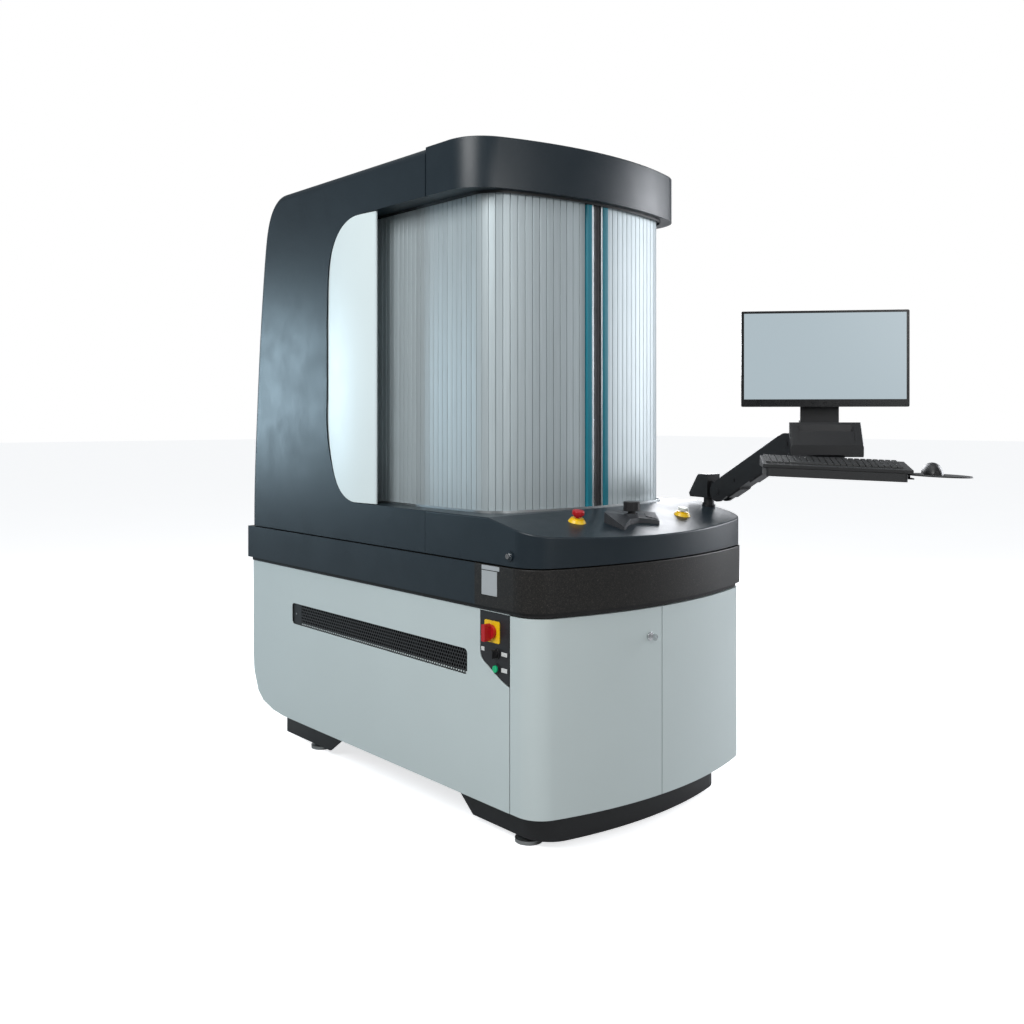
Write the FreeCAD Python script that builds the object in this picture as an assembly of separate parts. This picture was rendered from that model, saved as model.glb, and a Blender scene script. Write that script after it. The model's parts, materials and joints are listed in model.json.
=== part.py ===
import FreeCAD, Part
import math
import os
from FreeCAD import Vector as V

# ---------------------------------------------------------------- dimensions
# millimetres; X to the right seen from the front, Y to the back, Z up, floor z = 0
# Y is written from the crown of the front doors and moved to mid depth on export
Y_MID = 933.0

PLAN_R = 1379.0            # radius of the bowed front of the lower cabinet
DOOR_HW, DOOR_CR = 500.0, 95.0
PANEL_Z0, PANEL_Z1 = 122.0, 722.0
PANEL_BACK = 1855.0
SHEET = 3.0
SEAM_Y = 196.0             # door edge on the side
SEAM_X = -33.0             # joint between the two doors
HINGE_X, HINGE_Y = 494.0, 193.0
GRANITE_HW, GRANITE_CR, GRANITE_Y0, GRANITE_Y1 = 514.0, 110.0, -10.0, 1876.0
GRANITE_Z0, GRANITE_Z1 = 737.0, 866.0
APRON_HW, APRON_CR, APRON_Y0 = 508.0, 104.0, -6.0
APRON_Z0, SILL_Z = 870.0, 1010.0
TOP_Z, TOP_SLOPE, TOP_Y = 947.0, 0.2071, -9.0    # inclined worktop
COVER_SEAM = 621.0
CANOPY_HW, CANOPY_CR, CANOPY_R, CANOPY_Y0 = 506.0, 146.0, 1240.0, 285.0
CANOPY_Z0, CANOPY_Z1 = 2050.0, 2214.0
CURT_HW, CURT_CR, CURT_R, CURT_Y0 = 416.0, 94.0, 1261.0, 325.0
CURT_Z0, CURT_Z1 = 1014.0, 2046.0
CURT_CY = CURT_R + CURT_Y0
SLAT_PITCH = 26.0
BAR_W, TRIM_W, SEAL_W = 27.0, 7.5, 18.0
FOOT_X, FOOT_YF, FOOT_YR = 385.0, 240.0, 1490.0
TABLE_Y = 780.0            # rotary table centre
BRIDGE_Y = 1350.0          # parked measuring bridge
RAM_Y = BRIDGE_Y - 115.0
RAM_Z = 1440.0             # underside of the raised ram
RAIL_X = 330.0
ARM_X, ARM_Y, ARM_A = 482.0, 225.0, -98.1        # monitor arm post and heading
MON_X, MON_Y, MON_A = 467.0, -270.0, -49.7       # monitor face centre and heading
CON_X, CON_Y = -15.0, 148.0                      # joystick centre

OUT = {}


# ---------------------------------------------------------------- helpers
def bx(x0, x1, y0, y1, z0, z1):
    return Part.makeBox(x1 - x0, y1 - y0, z1 - z0, V(x0, y0, z0))


def rod(r, p0, p1):
    a, b = V(*p0), V(*p1)
    d = b.sub(a)
    return Part.makeCylinder(r, d.Length, a, d)


def cz(r, x, y, z0, z1):
    return Part.makeCylinder(r, z1 - z0, V(x, y, z0), V(0, 0, 1))


def ring(ro, ri, x, y, z0, z1):
    return cz(ro, x, y, z0, z1).cut(cz(ri, x, y, z0 - 1, z1 + 1))


def poly(points, vec):
    pts = [V(*p) for p in points]
    return Part.Face(Part.makePolygon(pts + [pts[0]])).extrude(V(*vec))


def yz(points, x0, x1):
    return poly([(x0, y, z) for y, z in points], (x1 - x0, 0, 0))


def xy(points, z0, z1):
    return poly([(x, y, z0) for x, y in points], (0, 0, z1 - z0))


def xz(points, y0, y1):
    return poly([(x, y0, z) for x, z in points], (0, y1 - y0, 0))


def fuse(items):
    s = items[0]
    if len(items) > 1:
        s = s.multiFuse(items[1:])
    return s.removeSplitter()


def group(items):
    return Part.makeCompound(items)


def mx(s):
    return s.mirror(V(0, 0, 0), V(1, 0, 0))


def turned(s, centre, axis, deg):
    c = s.copy()
    c.rotate(V(*centre), V(*axis), deg)
    return c


def moved(s, x, y, z):
    c = s.copy()
    c.translate(V(x, y, z))
    return c


def set_at(s, x, y, deg, z=0.0):
    c = s.copy()
    c.rotate(V(0, 0, 0), V(0, 0, 1), deg)
    c.translate(V(x, y, z))
    return c


def round_edges(s, r, test):
    edges = [e for e in s.Edges if test(e)]
    return s.makeFillet(r, edges) if edges else s


def vertical(e):
    b = e.BoundBox
    return b.ZLength > 1 and b.XLength < 1e-3 and b.YLength < 1e-3


def rbox(x0, x1, y0, y1, z0, z1, r):
    return round_edges(bx(x0, x1, y0, y1, z0, z1), r, vertical)


def slot_face(points, r=None):
    return Part.Face(Part.makePolygon([V(*p) for p in points] + [V(*points[0])]))


def plan(hw, cr, R, y0):
    cx = hw - cr
    cy = R + y0 - math.sqrt((R - cr) ** 2 - cx ** 2)
    k = R / (R - cr)
    return cx, cy, cx * k, R + y0 + (cy - R - y0) * k


def slab(hw, cr, R, y0, yb, z0, z1):
    # bowed front, rounded front corners, straight sides and back
    cx, cy, tx, ty = plan(hw, cr, R, y0)
    d = V(tx - cx, ty - cy, 0).normalize()
    m = V(d.x + 1, d.y, 0).normalize()
    mid = V(cx + cr * m.x, cy + cr * m.y, z0)
    p = [V(-hw, yb, z0), V(-hw, cy, z0), V(-mid.x, mid.y, z0), V(-tx, ty, z0), V(0, y0, z0),
         V(tx, ty, z0), mid, V(hw, cy, z0), V(hw, yb, z0)]
    e = [Part.LineSegment(p[0], p[1]).toShape(), Part.Arc(p[1], p[2], p[3]).toShape(),
         Part.Arc(p[3], p[4], p[5]).toShape(), Part.Arc(p[5], p[6], p[7]).toShape(),
         Part.LineSegment(p[7], p[8]).toShape(), Part.LineSegment(p[8], p[0]).toShape()]
    return Part.Face(Part.Wire(e)).extrude(V(0, 0, z1 - z0))


def band(hw, cr, R, y0, yb, z0, z1, t):
    return slab(hw, cr, R, y0, yb, z0, z1).cut(
        slab(hw - t, cr - t, R - t, y0 + t, yb + 5, z0 - 1, z1 + 1))


def spline_edge(points):
    c = Part.BSplineCurve()
    c.interpolate([V(*p) for p in points])
    return c.toShape()


def put(name, s):
    OUT[name] = s


# ---------------------------------------------------------------- feet and frame
feet, nuts, isolators = [], [], []
FEET = [(sx * FOOT_X, y) for y in (FOOT_YF, FOOT_YR) for sx in (-1, 1)]
for x, y in FEET:
    disc = fuse([cz(44, x, y, 0, 12), Part.makeCone(40, 20, 10, V(x, y, 12)), cz(16, x, y, 20, 34),
                 cz(10, x, y, 30, 135)])
    feet.append(disc)
    hexa = [(x + 17.3 * math.cos(math.radians(60 * i)), y + 17.3 * math.sin(math.radians(60 * i)))
            for i in range(6)]
    nuts.append(xy(hexa, 48, 60).cut(cz(10.2, x, y, 40, 70)))
    isolators.append(fuse([cz(62, x, y, 652, 660), cz(48, x, y, 660, 726),
                           Part.makeTorus(44, 12, V(x, y, 676), V(0, 0, 1)),
                           Part.makeTorus(44, 12, V(x, y, 708), V(0, 0, 1)), cz(58, x, y, 726, GRANITE_Z0)]))
put("levelling_feet", group(feet))
put("foot_lock_nuts", group(nuts))
put("vibration_isolators", group(isolators))


def tube(x0, x1, y0, y1, z0, z1, axis, t=4.0):
    d = [t, t, t]
    d[axis] = -1.0
    return bx(x0, x1, y0, y1, z0, z1).cut(
        bx(x0 + d[0], x1 - d[0], y0 + d[1], y1 - d[1], z0 + d[2], z1 - d[2]))


parts = []
for x, y in FEET:
    parts.append(bx(x - 32, x + 32, y - 32, y + 32, 60, 80).cut(cz(10.2, x, y, 50, 90)))
    parts.append(tube(x - 30, x + 30, y - 30, y + 30, 80, 640, 2, 5))
    parts.append(bx(x - 65, x + 65, y - 65, y + 65, 640, 652))
for sx in (-1, 1):
    x = sx * FOOT_X
    parts.append(tube(x - 30, x + 30, FOOT_YF + 30, FOOT_YR - 30, 560, 630, 1))
    parts.append(tube(x - 30, x + 30, FOOT_YF + 30, FOOT_YR - 30, 132, 182, 1))
    parts.append(tube(x - 30, x + 30, FOOT_YR + 30, 1800, 560, 630, 1))
    parts.append(tube(x - 30, x + 30, FOOT_YR + 30, 1800, 182, 232, 1))
    parts.append(tube(x - 25, x + 25, 1775, 1800, 232, 560, 2, 3))
for y in (FOOT_YF, FOOT_YR):
    parts.append(tube(-FOOT_X + 30, FOOT_X - 30, y - 25, y + 25, 560, 630, 0))
    parts.append(tube(-FOOT_X + 30, FOOT_X - 30, y - 25, y + 25, 132, 182, 0))
put("base_frame", fuse(parts))

# sheet floor of the lower cabinet, notched round the legs and open at the rear feet
floor = slab(474, 69, PLAN_R - 26, 26, 1690, 122.5, 125.5)
for x, y in FEET:
    floor = floor.cut(bx(x - 31, x + 31, y - 31, y + 31, 100, 140))
put("cabinet_floor", floor)

# ---------------------------------------------------------------- plinth and rear brackets
pl = band(425, 109, PLAN_R, 71, 700, 25, 122, 3)
pl = pl.cut(yz([(464, 20), (538, 80), (560, 122), (560, 200), (900, 200), (900, 20)], -600, 600))
lip = band(422, 106, PLAN_R - 3, 74, 556, 118, 121.5, 6)
foot_slots = []
put("front_plinth", fuse([pl, lip]))
br = []
prof = [(1283, 78), (1364, 22), (1706, 22), (1706, 122), (1262, 122)]
inner = [(1290, 80), (1366, 25), (1703, 25), (1703, 119), (1270, 119)]
for sx in (-1, 1):
    x0, x1 = sorted((sx * 425, sx * 422))
    a = yz(prof, x0, x1)
    lipx = sorted((sx * 422, sx * 417))
    b = yz(prof, lipx[0], lipx[1]).cut(yz(inner, lipx[0] - 1, lipx[1] + 1))
    s = fuse([a, b])
    br.append(s)
put("rear_foot_brackets", group(br))

# ---------------------------------------------------------------- side panels
side = [(199.5, 122), (1600, 122), (1682, 129), (1769, 152), (1813, 185), (1848, 262), (1855, 330),
        (1855, 722), (199.5, 722)]


def grow(pts, d, cy=1000.0, cz_=422.0):
    out = []
    for y, z in pts:
        out.append((y - d if y > cy else y + d, z - d if z > cz_ else z + d))
    return out


VENT = (405.0, 1527.0, 504.0, 586.0)


def vent_cut(x0, x1):
    y0, y1, z0, z1 = VENT
    b = bx(x0, x1, y0, y1, z0, z1)
    return round_edges(b, 15, lambda e: e.BoundBox.XLength > 1 and e.BoundBox.YLength < 1e-3 and e.BoundBox.ZLength < 1e-3)


skin = yz(side, -500, -497)
rim = yz(side, -497, -478).cut(yz(grow(side, 3), -520, -470))
rim = rim.cut(bx(-520, -460, 190, 203, 100, 719))
panel = fuse([skin, rim]).cut(vent_cut(-510, -490))
INSET = [(199.5, 503), (218, 508), (240, 517), (270, 533), (300, 550), (322, 562), (335, 573), (340, 588),
         (340, 720), (199.5, 720)]
left_panel = panel.cut(yz([(190, 497)] + INSET[1:-1] + [(190, 720)], -505, -496))
put("left_side_panel", left_panel)
put("right_side_panel", mx(panel))

# perforated vent grilles recessed behind the slots
y0, y1, z0, z1 = VENT
outer = Part.makePolygon([V(-494, y0 - 8, z0 - 8), V(-494, y1 + 8, z0 - 8), V(-494, y1 + 8, z1 + 8),
                          V(-494, y0 - 8, z1 + 8), V(-494, y0 - 8, z0 - 8)])
holes = []
n_y, n_z = 56, 4
for i in range(n_y):
    for j in range(n_z):
        a = y0 + 12 + i * (y1 - y0 - 24) / n_y
        b = z0 + 9 + j * 17.2
        holes.append(Part.makePolygon([V(-494, a, b), V(-494, a + 14, b), V(-494, a + 14, b + 12),
                                       V(-494, a, b + 12), V(-494, a, b)]))
grille = Part.makeFace(Part.makeCompound([outer] + holes), "Part::FaceMakerBullseye").extrude(V(1.5, 0, 0))
put("left_vent_grille", grille)
put("right_vent_grille", mx(grille))

# black control panel let into the front top corner of the left side
inset = yz([(200.5, 505.5)] + [(y, z + 2.5) for y, z in INSET[1:6]] + [(333, 577), (338, 590), (338, 719), (200.5, 719)],
           -500, -491)
SW_Y, SW_Z, SEL_Y, SEL_Z, BTN_Z = 279.0, 660.5, 260.0, 595.0, 549.0
inset = inset.cut(rod(14, (-510, SW_Y, SW_Z), (-480, SW_Y, SW_Z)))
inset = inset.cut(rod(8, (-510, SEL_Y, SEL_Z), (-480, SEL_Y, SEL_Z)))
inset = inset.cut(rod(11.2, (-510, SEL_Y, BTN_Z), (-480, SEL_Y, BTN_Z)))
put("control_inset_panel", inset)
plate = rbox(-503, -500, SW_Y - 36, SW_Y + 36, SW_Z - 33.5, SW_Z + 33.5, 1)
plate = round_edges(bx(-502.5, -500, SW_Y - 36, SW_Y + 36, SW_Z - 33.5, SW_Z + 33.5), 5,
                    lambda e: e.BoundBox.XLength > 1)
plate = plate.cut(rod(12.5, (-510, SW_Y, SW_Z), (-490, SW_Y, SW_Z)))
put("main_switch_plate", plate)
collars = [rod(16, (-504, SEL_Y, SEL_Z), (-500, SEL_Y, SEL_Z)).cut(rod(8.3, (-510, SEL_Y, SEL_Z), (-490, SEL_Y, SEL_Z))),
           rod(15, (-504, SEL_Y, BTN_Z), (-500, SEL_Y, BTN_Z)).cut(rod(11.2, (-510, SEL_Y, BTN_Z), (-490, SEL_Y, BTN_Z))),
           bx(-501, -500, 209, 236, SEL_Z - 3, SEL_Z + 9),
           bx(-501, -500, 209, 236, BTN_Z - 6, BTN_Z + 7),
           bx(-501, -500, 318, 333, SEL_Z, SEL_Z + 12)]
put("switch_collars", group(collars))
blocks = [bx(-491, -457, SW_Y - 28, SW_Y + 28, SW_Z - 30, SW_Z + 30).cut(rod(12.5, (-495, SW_Y, SW_Z), (-455, SW_Y, SW_Z))),
          bx(-491, -452, SEL_Y - 16, SEL_Y + 16, SEL_Z - 20, SEL_Z + 14).cut(rod(8, (-495, SEL_Y, SEL_Z), (-470, SEL_Y, SEL_Z))),
          bx(-491, -452, SEL_Y - 16, SEL_Y + 16, BTN_Z - 20, BTN_Z + 20).cut(rod(10.5, (-495, SEL_Y, BTN_Z), (-470, SEL_Y, BTN_Z)))]
put("switch_bodies", group(blocks))
h = fuse([rod(22, (-514, SW_Y, SW_Z), (-503.5, SW_Y, SW_Z)),
          round_edges(bx(-538, -513, SW_Y - 8.5, SW_Y + 8.5, SW_Z - 26, SW_Z + 26), 4,
                      lambda e: e.BoundBox.XLength > 20),
          rod(6, (-504, SW_Y, SW_Z), (-462, SW_Y, SW_Z))])
put("main_switch_handle", h)
put("selector_knob", fuse([rod(12.5, (-512, SEL_Y, SEL_Z), (-504.4, SEL_Y, SEL_Z)),
                           bx(-521, -511, SEL_Y - 4, SEL_Y + 4, SEL_Z - 12, SEL_Z + 12),
                           rod(6, (-505, SEL_Y, SEL_Z), (-474, SEL_Y, SEL_Z))]))
btn = fuse([rod(10.6, (-508, SEL_Y, BTN_Z), (-500.5, SEL_Y, BTN_Z)), rod(6, (-501, SEL_Y, BTN_Z), (-476, SEL_Y, BTN_Z))])
put("start_button", btn)

# ---------------------------------------------------------------- front doors
skin = band(DOOR_HW, DOOR_CR, PLAN_R, 0, SEAM_Y, 123, 719, SHEET)
flange_t = band(497, 92, PLAN_R - 3, 3, SEAM_Y, 716, 719, 17)
flange_b = band(497, 92, PLAN_R - 3, 3, SEAM_Y, 123, 126, 17)
whole = fuse([skin, flange_t, flange_b])
LOCK_X, LOCK_Z = -88.0, 631.0
lock_y = PLAN_R - math.sqrt(PLAN_R ** 2 - LOCK_X ** 2)


def lug(sx, z0, z1):
    a, b = sorted((sx * 497.5, sx * 483))
    return bx(a, b, 184, 195.5, z0, z1)


def door(x0, x1, sx, edge_x):
    d = whole.common(bx(x0, x1, -50, 300, 100, 740))
    ya = PLAN_R - math.sqrt(PLAN_R ** 2 - edge_x ** 2)
    e0, e1 = sorted((edge_x, edge_x + sx * 3))
    ret = bx(e0, e1, ya + 2, ya + 24, 124, 718)
    xs = sx * 250
    ys = PLAN_R - math.sqrt(PLAN_R ** 2 - xs ** 2)
    rib = bx(xs - 8, xs + 8, ys + 2.0, ys + 14, 125, 717)
    d = fuse([d, ret, rib, lug(sx, 700, 716.5), lug(sx, 125.5, 142)])
    for z in (695, 121):
        d = d.cut(cz(2.9, sx * HINGE_X, HINGE_Y, z, z + 23))
    return d


left_door = door(-520, SEAM_X - 1.5, -1, SEAM_X - 1.5)
left_door = left_door.cut(rod(9.5, (LOCK_X, -20, LOCK_Z), (LOCK_X, 30, LOCK_Z)))
put("left_front_door", left_door)
put("right_front_door", door(SEAM_X + 1.5, 520, 1, SEAM_X + 1.5))
hb = []
for sx in (-1, 1):
    def sp_(x0, x1, y0, y1, z0, z1):
        q0, q1 = sorted((sx * x0, sx * x1))
        return bx(q0, q1, y0, y1, z0, z1)
    up = fuse([sp_(496.6, 472, 186, 193, 691, 697), sp_(494, 472, 186, 195.6, 691, 697), sp_(488, 472, 186, 240, 691, 697), sp_(488, 482, 206, 240, 560, 697),
               sp_(488, 415.5, 212, 240, 560, 566), cz(2.6, sx * HINGE_X, HINGE_Y, 691, 713)])
    dn = fuse([sp_(496.6, 472, 186, 193, 145, 151), sp_(494, 472, 186, 195.6, 145, 151), sp_(488, 472, 186, 240, 145, 151), sp_(488, 482, 206, 240, 145, 200),
               sp_(488, 415.5, 212, 240, 194, 200), cz(2.6, sx * HINGE_X, HINGE_Y, 128, 151)])
    hb += [up, dn]
put("door_hinge_brackets", group(hb))
ly = lock_y
put("door_lock_body", fuse([rod(13, (LOCK_X, ly - 4, LOCK_Z), (LOCK_X, ly - 1.2, LOCK_Z)).cut(rod(6.3, (LOCK_X, -20, LOCK_Z), (LOCK_X, 30, LOCK_Z))),
                            rod(9.4, (LOCK_X, ly - 1.3, LOCK_Z), (LOCK_X, ly + 22, LOCK_Z)).cut(
                                rod(6.3, (LOCK_X, -20, LOCK_Z), (LOCK_X, 40, LOCK_Z)))]))
put("door_lock_barrel", fuse([rod(6, (LOCK_X, ly - 5, LOCK_Z), (LOCK_X, ly + 24, LOCK_Z)),
                              bx(LOCK_X - 7, LOCK_X + 7, ly + 23, ly + 26, LOCK_Z - 8, LOCK_Z + 34)]))
key = fuse([bx(LOCK_X - 1.1, LOCK_X + 1.1, ly - 14, ly - 5.05, LOCK_Z - 4, LOCK_Z + 4),
            rod(11, (LOCK_X - 1.1, ly - 22, LOCK_Z), (LOCK_X + 1.1, ly - 22, LOCK_Z)).cut(
                rod(3, (LOCK_X - 3, ly - 26, LOCK_Z), (LOCK_X + 3, ly - 26, LOCK_Z)))])
put("door_key", key)

# ---------------------------------------------------------------- granite, band, plates
g = slab(GRANITE_HW, GRANITE_CR, PLAN_R, GRANITE_Y0, GRANITE_Y1, GRANITE_Z0, GRANITE_Z1)
g = round_edges(g, 3, lambda e: abs(e.BoundBox.ZMin - GRANITE_Z1) < 1e-3 and abs(e.BoundBox.ZMax - GRANITE_Z1) < 1e-3
                and e.BoundBox.YMin < 1800)
for sx in (-1, 1):
    a, b = sorted((sx * 510, sx * 540))
    g = g.cut(bx(a, b, 350, 1900, 700, 900))
g = g.cut(bx(-600, 600, 1872, 1900, 700, 900))
INSERTS = [(sx * x, y) for x in (95.0, 220.0) for y in (480.0, 560.0) for sx in (-1, 1)]
for x, y in INSERTS:
    g = g.cut(cz(8, x, y, GRANITE_Z1 - 25, GRANITE_Z1 + 5))
put("granite_base", g)
put("granite_inserts", group([ring(7.95, 3.4, x, y, GRANITE_Z1 - 24.5, GRANITE_Z1 - 0.5) for x, y in INSERTS]))
sk = fuse([bx(-514, -510.2, 350, 1876, 737, 866), bx(510.2, 514, 350, 1876, 737, 866),
           bx(-514, 514, 1872.2, 1876, 737, 866)])
put("skirt_band", sk)
put("rating_plates", group([bx(-515, -514.05, 240, 314, 773, 848), bx(-515, -514.05, 229, 314, 850.5, 864)]))
seal = band(GRANITE_HW - 14, GRANITE_CR - 14, PLAN_R - 14, GRANITE_Y0 + 14, 1862, 722.5, 736.8, 10)
put("granite_gasket", seal)

# ---------------------------------------------------------------- worktop and lower front cover
def under_incline(s, dz):
    z_at = lambda y: TOP_Z + TOP_SLOPE * (y - TOP_Y) + dz
    y_top = TOP_Y + (SILL_Z - TOP_Z) / TOP_SLOPE
    return s.cut(yz([(-60, z_at(-60)), (y_top, SILL_Z + dz), (y_top, 1200), (-60, 1200)], -700, 700))


outer = under_incline(slab(APRON_HW, APRON_CR, PLAN_R, APRON_Y0, COVER_SEAM - 1.5, APRON_Z0, SILL_Z), 0)
y_crest = TOP_Y + (SILL_Z - TOP_Z) / TOP_SLOPE


def top_rim(e):
    b = e.BoundBox
    m = e.valueAt((e.FirstParameter + e.LastParameter) / 2)
    if b.ZMax < TOP_Z - 2 or abs(b.ZMin - APRON_Z0) < 1e-3 or b.YMin > COVER_SEAM - 5:
        return False
    return not vertical(e) and not (abs(b.YLength) < 1e-3)


try:
    rounded = round_edges(outer, 5, top_rim)
    if rounded.isValid() and abs(rounded.Volume - outer.Volume) < 0.02 * outer.Volume:
        outer = rounded
except Exception:
    pass
cav = under_incline(slab(APRON_HW - 4, APRON_CR - 4, PLAN_R - 4, APRON_Y0 + 4, COVER_SEAM + 5, 860, SILL_Z - 4), -4.1)
w = outer.cut(cav)
w = w.cut(slab(396, 74, 1241, 345, 800, 800, 1200))
w = w.fuse(band(400, 78, 1245, 341, COVER_SEAM - 1.5, APRON_Z0, SILL_Z - 3, 4))
EST = (-235.0, 180.0)
ACK = (245.0, 153.0)


def deck_z(y):
    return min(TOP_Z + TOP_SLOPE * (y - TOP_Y), SILL_Z)


TILT = math.degrees(math.atan(TOP_SLOPE))
NRM = V(0, -math.sin(math.radians(TILT)), math.cos(math.radians(TILT)))


def on_deck(s, x, y):
    # from a frame whose z = 0 plane is the worktop face
    c = s.copy()
    c.rotate(V(0, 0, 0), V(1, 0, 0), TILT)
    c.translate(V(x, y, deck_z(y)))
    return c


for (x, y), r in ((EST, 11.5), (ACK, 11.5), ((ARM_X - 0.0, ARM_Y), 12.0), ((CON_X, CON_Y), 14.0)):
    w = w.cut(on_deck(cz(r, 0, 0, -20, 10), x, y))
KEY_Y, KEY_Z = 187.0, 901.0
w = w.cut(rod(12.2, (-520, KEY_Y, KEY_Z), (-495, KEY_Y, KEY_Z)))
put("worktop_apron", w.removeSplitter())

# stanchion that carries the arm post down to the granite
put("arm_stanchion", fuse([bx(ARM_X - 22, ARM_X + 18, ARM_Y - 24, ARM_Y + 24, GRANITE_Z1, 960),
                           bx(ARM_X - 60, ARM_X + 18, ARM_Y - 24, ARM_Y + 24, GRANITE_Z1, GRANITE_Z1 + 10)]).cut(
    cz(10.2, ARM_X, ARM_Y, 900, 980)))

# key switch on the left flank of the worktop cover
put("apron_lock_body", fuse([rod(15, (-512.5, KEY_Y, KEY_Z), (-508.1, KEY_Y, KEY_Z)), rod(12, (-509, KEY_Y, KEY_Z), (-480, KEY_Y, KEY_Z))]).cut(
    rod(8.3, (-530, KEY_Y, KEY_Z), (-470, KEY_Y, KEY_Z))))
barrel = rod(8, (-520, KEY_Y, KEY_Z), (-478, KEY_Y, KEY_Z))
for i in range(12):
    a = math.radians(30 * i)
    barrel = barrel.cut(rod(0.9, (-525, KEY_Y + 8 * math.cos(a), KEY_Z + 8 * math.sin(a)), (-514, KEY_Y + 8 * math.cos(a), KEY_Z + 8 * math.sin(a))))
barrel = barrel.cut(bx(-525, -516, KEY_Y - 0.8, KEY_Y + 0.8, KEY_Z - 4.5, KEY_Z + 4.5))
barrel = fuse([barrel, bx(-479, -475, KEY_Y - 6, KEY_Y + 6, KEY_Z - 30, KEY_Z + 6)])
put("apron_lock_barrel", barrel)

# ---------------------------------------------------------------- push buttons on the worktop
base = fuse([Part.makeCone(29, 24, 9, V(0, 0, 0)), cz(20.5, 0, 0, 8, 13), cz(11, 0, 0, -20, 2)]).cut(cz(6.3, 0, 0, -25, 20))
put("stop_button_bases", group([on_deck(moved(base, 0, 0, 0.05), *EST), on_deck(moved(base, 0, 0, 0.05), *ACK)]))
mush = fuse([cz(14, 0, 0, 13.5, 20), round_edges(cz(19.5, 0, 0, 19.5, 33), 4, lambda e: e.BoundBox.ZMin > 32.9 and e.BoundBox.ZLength < 1e-3),
             cz(6, 0, 0, -18, 14)])
mush = moved(mush, 0, 0, 5)
put("emergency_stop_button", on_deck(mush, *EST))
cap = fuse([round_edges(cz(16.5, 0, 0, 16.5, 28), 2.5, lambda e: e.BoundBox.ZMin > 27.9 and e.BoundBox.ZLength < 1e-3), cz(6, 0, 0, -18, 17)])
put("acknowledge_button", on_deck(moved(cap, 0, 0, 0), *ACK))

# ---------------------------------------------------------------- rear cover
BACK = [(1855, 870), (1851, 1057), (1840, 1225), (1826, 1392), (1811, 1559), (1793, 1724), (1772, 1887), (1753, 2010),
        (1731, 2098), (1697, 2160), (1650, 2199), (1590, 2214)]


def rear_solid(d, x):
    z_bot = 870 - (20 if d else 0)
    back = [(y - d, z - d * (z - 870) / 1344.0) for y, z in BACK]
    back[0] = (1855 - d, z_bot)
    back[-1] = (1590, 2214 - d)
    e = [spline_edge([(-x, y, z) for y, z in back]),
         Part.LineSegment(V(-x, 1590, 2214 - d), V(-x, COVER_SEAM - (5 if d else 0), 2214 - d)).toShape(),
         Part.LineSegment(V(-x, COVER_SEAM - (5 if d else 0), 2214 - d), V(-x, COVER_SEAM - (5 if d else 0), z_bot)).toShape(),
         Part.LineSegment(V(-x, COVER_SEAM - (5 if d else 0), z_bot), V(-x, 1855 - d, z_bot)).toShape()]
    return Part.Face(Part.Wire(e)).extrude(V(2 * x, 0, 0))


outer = rear_solid(0, 508)


def back_edge(e):
    b = e.BoundBox
    return b.ZLength > 1000 and b.XLength < 1e-3 and b.YMax > 1800


try:
    r2 = round_edges(outer, 30, back_edge)
    if r2.isValid():
        outer = r2
except Exception:
    pass
cav = rear_solid(4, 504)
try:
    c2 = round_edges(cav, 26, back_edge)
    if c2.isValid():
        cav = c2
except Exception:
    pass
rc = outer.cut(cav)
WIN_LO = [(1048, 1010), (1116, 1025), (1172, 1066), (1214, 1141), (1243, 1234), (1250, 1384)]
WIN_HI = [(1250, 1685), (1243, 1835), (1214, 1944), (1158, 2008), (1088, 2042), (1030, 2050)]


def window(x0, x1, yf, d=0.0):
    lo = [(y - d, z + d) for y, z in WIN_LO]
    hi = [(y - d, z - d) for y, z in WIN_HI]
    e = [Part.LineSegment(V(x0, yf, lo[0][1]), V(x0, *lo[0])).toShape(), spline_edge([(x0, y, z) for y, z in lo]),
         Part.LineSegment(V(x0, *lo[-1]), V(x0, *hi[0])).toShape(), spline_edge([(x0, y, z) for y, z in hi]),
         Part.LineSegment(V(x0, *hi[-1]), V(x0, yf, hi[-1][1])).toShape(),
         Part.LineSegment(V(x0, yf, hi[-1][1]), V(x0, yf, lo[0][1])).toShape()]
    return Part.Face(Part.Wire(e)).extrude(V(x1 - x0, 0, 0))


rc = rc.cut(window(-520, -495, 600)).cut(window(495, 520, 600))
adds = []
for sx in (-1, 1):
    a, b = sorted((sx * 505, sx * 400))
    c, d = sorted((sx * 404, sx * 400))
    adds += [bx(a, b, COVER_SEAM, 1300, SILL_Z - 4, SILL_Z), bx(c, d, COVER_SEAM, 1300, 870, SILL_Z - 2),
             bx(a, b, COVER_SEAM, 1300, 2050, 2054), bx(c, d, COVER_SEAM, 1300, 2052, 2211)]
rc = rc.multiFuse(adds)
RV = (-330.0, 330.0, 1080.0, 1560.0)
rc = rc.cut(bx(RV[0], RV[1], 1780, 1900, RV[2], RV[3]))
put("rear_cover", rc.removeSplitter())
# service panel with louvres on the back of the rear cover
sp = yz([(1819, 1055), (1825, 1055), (1822.5, 1065), (1820, 1560), (1813, 1585), (1807, 1585)], -345, 345)
sp = yz([(1832, 1062), (1840, 1062), (1826, 1225), (1809, 1392), (1800, 1559), (1798, 1580), (1790, 1580), (1792, 1559), (1801, 1392), (1818, 1225)],
        -350, 350)
put("rear_service_panel", sp.cut(group([bx(-240 + 0, 240, 1700, 1900, 1130 + 26 * i, 1138 + 26 * i) for i in range(8)])))

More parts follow.
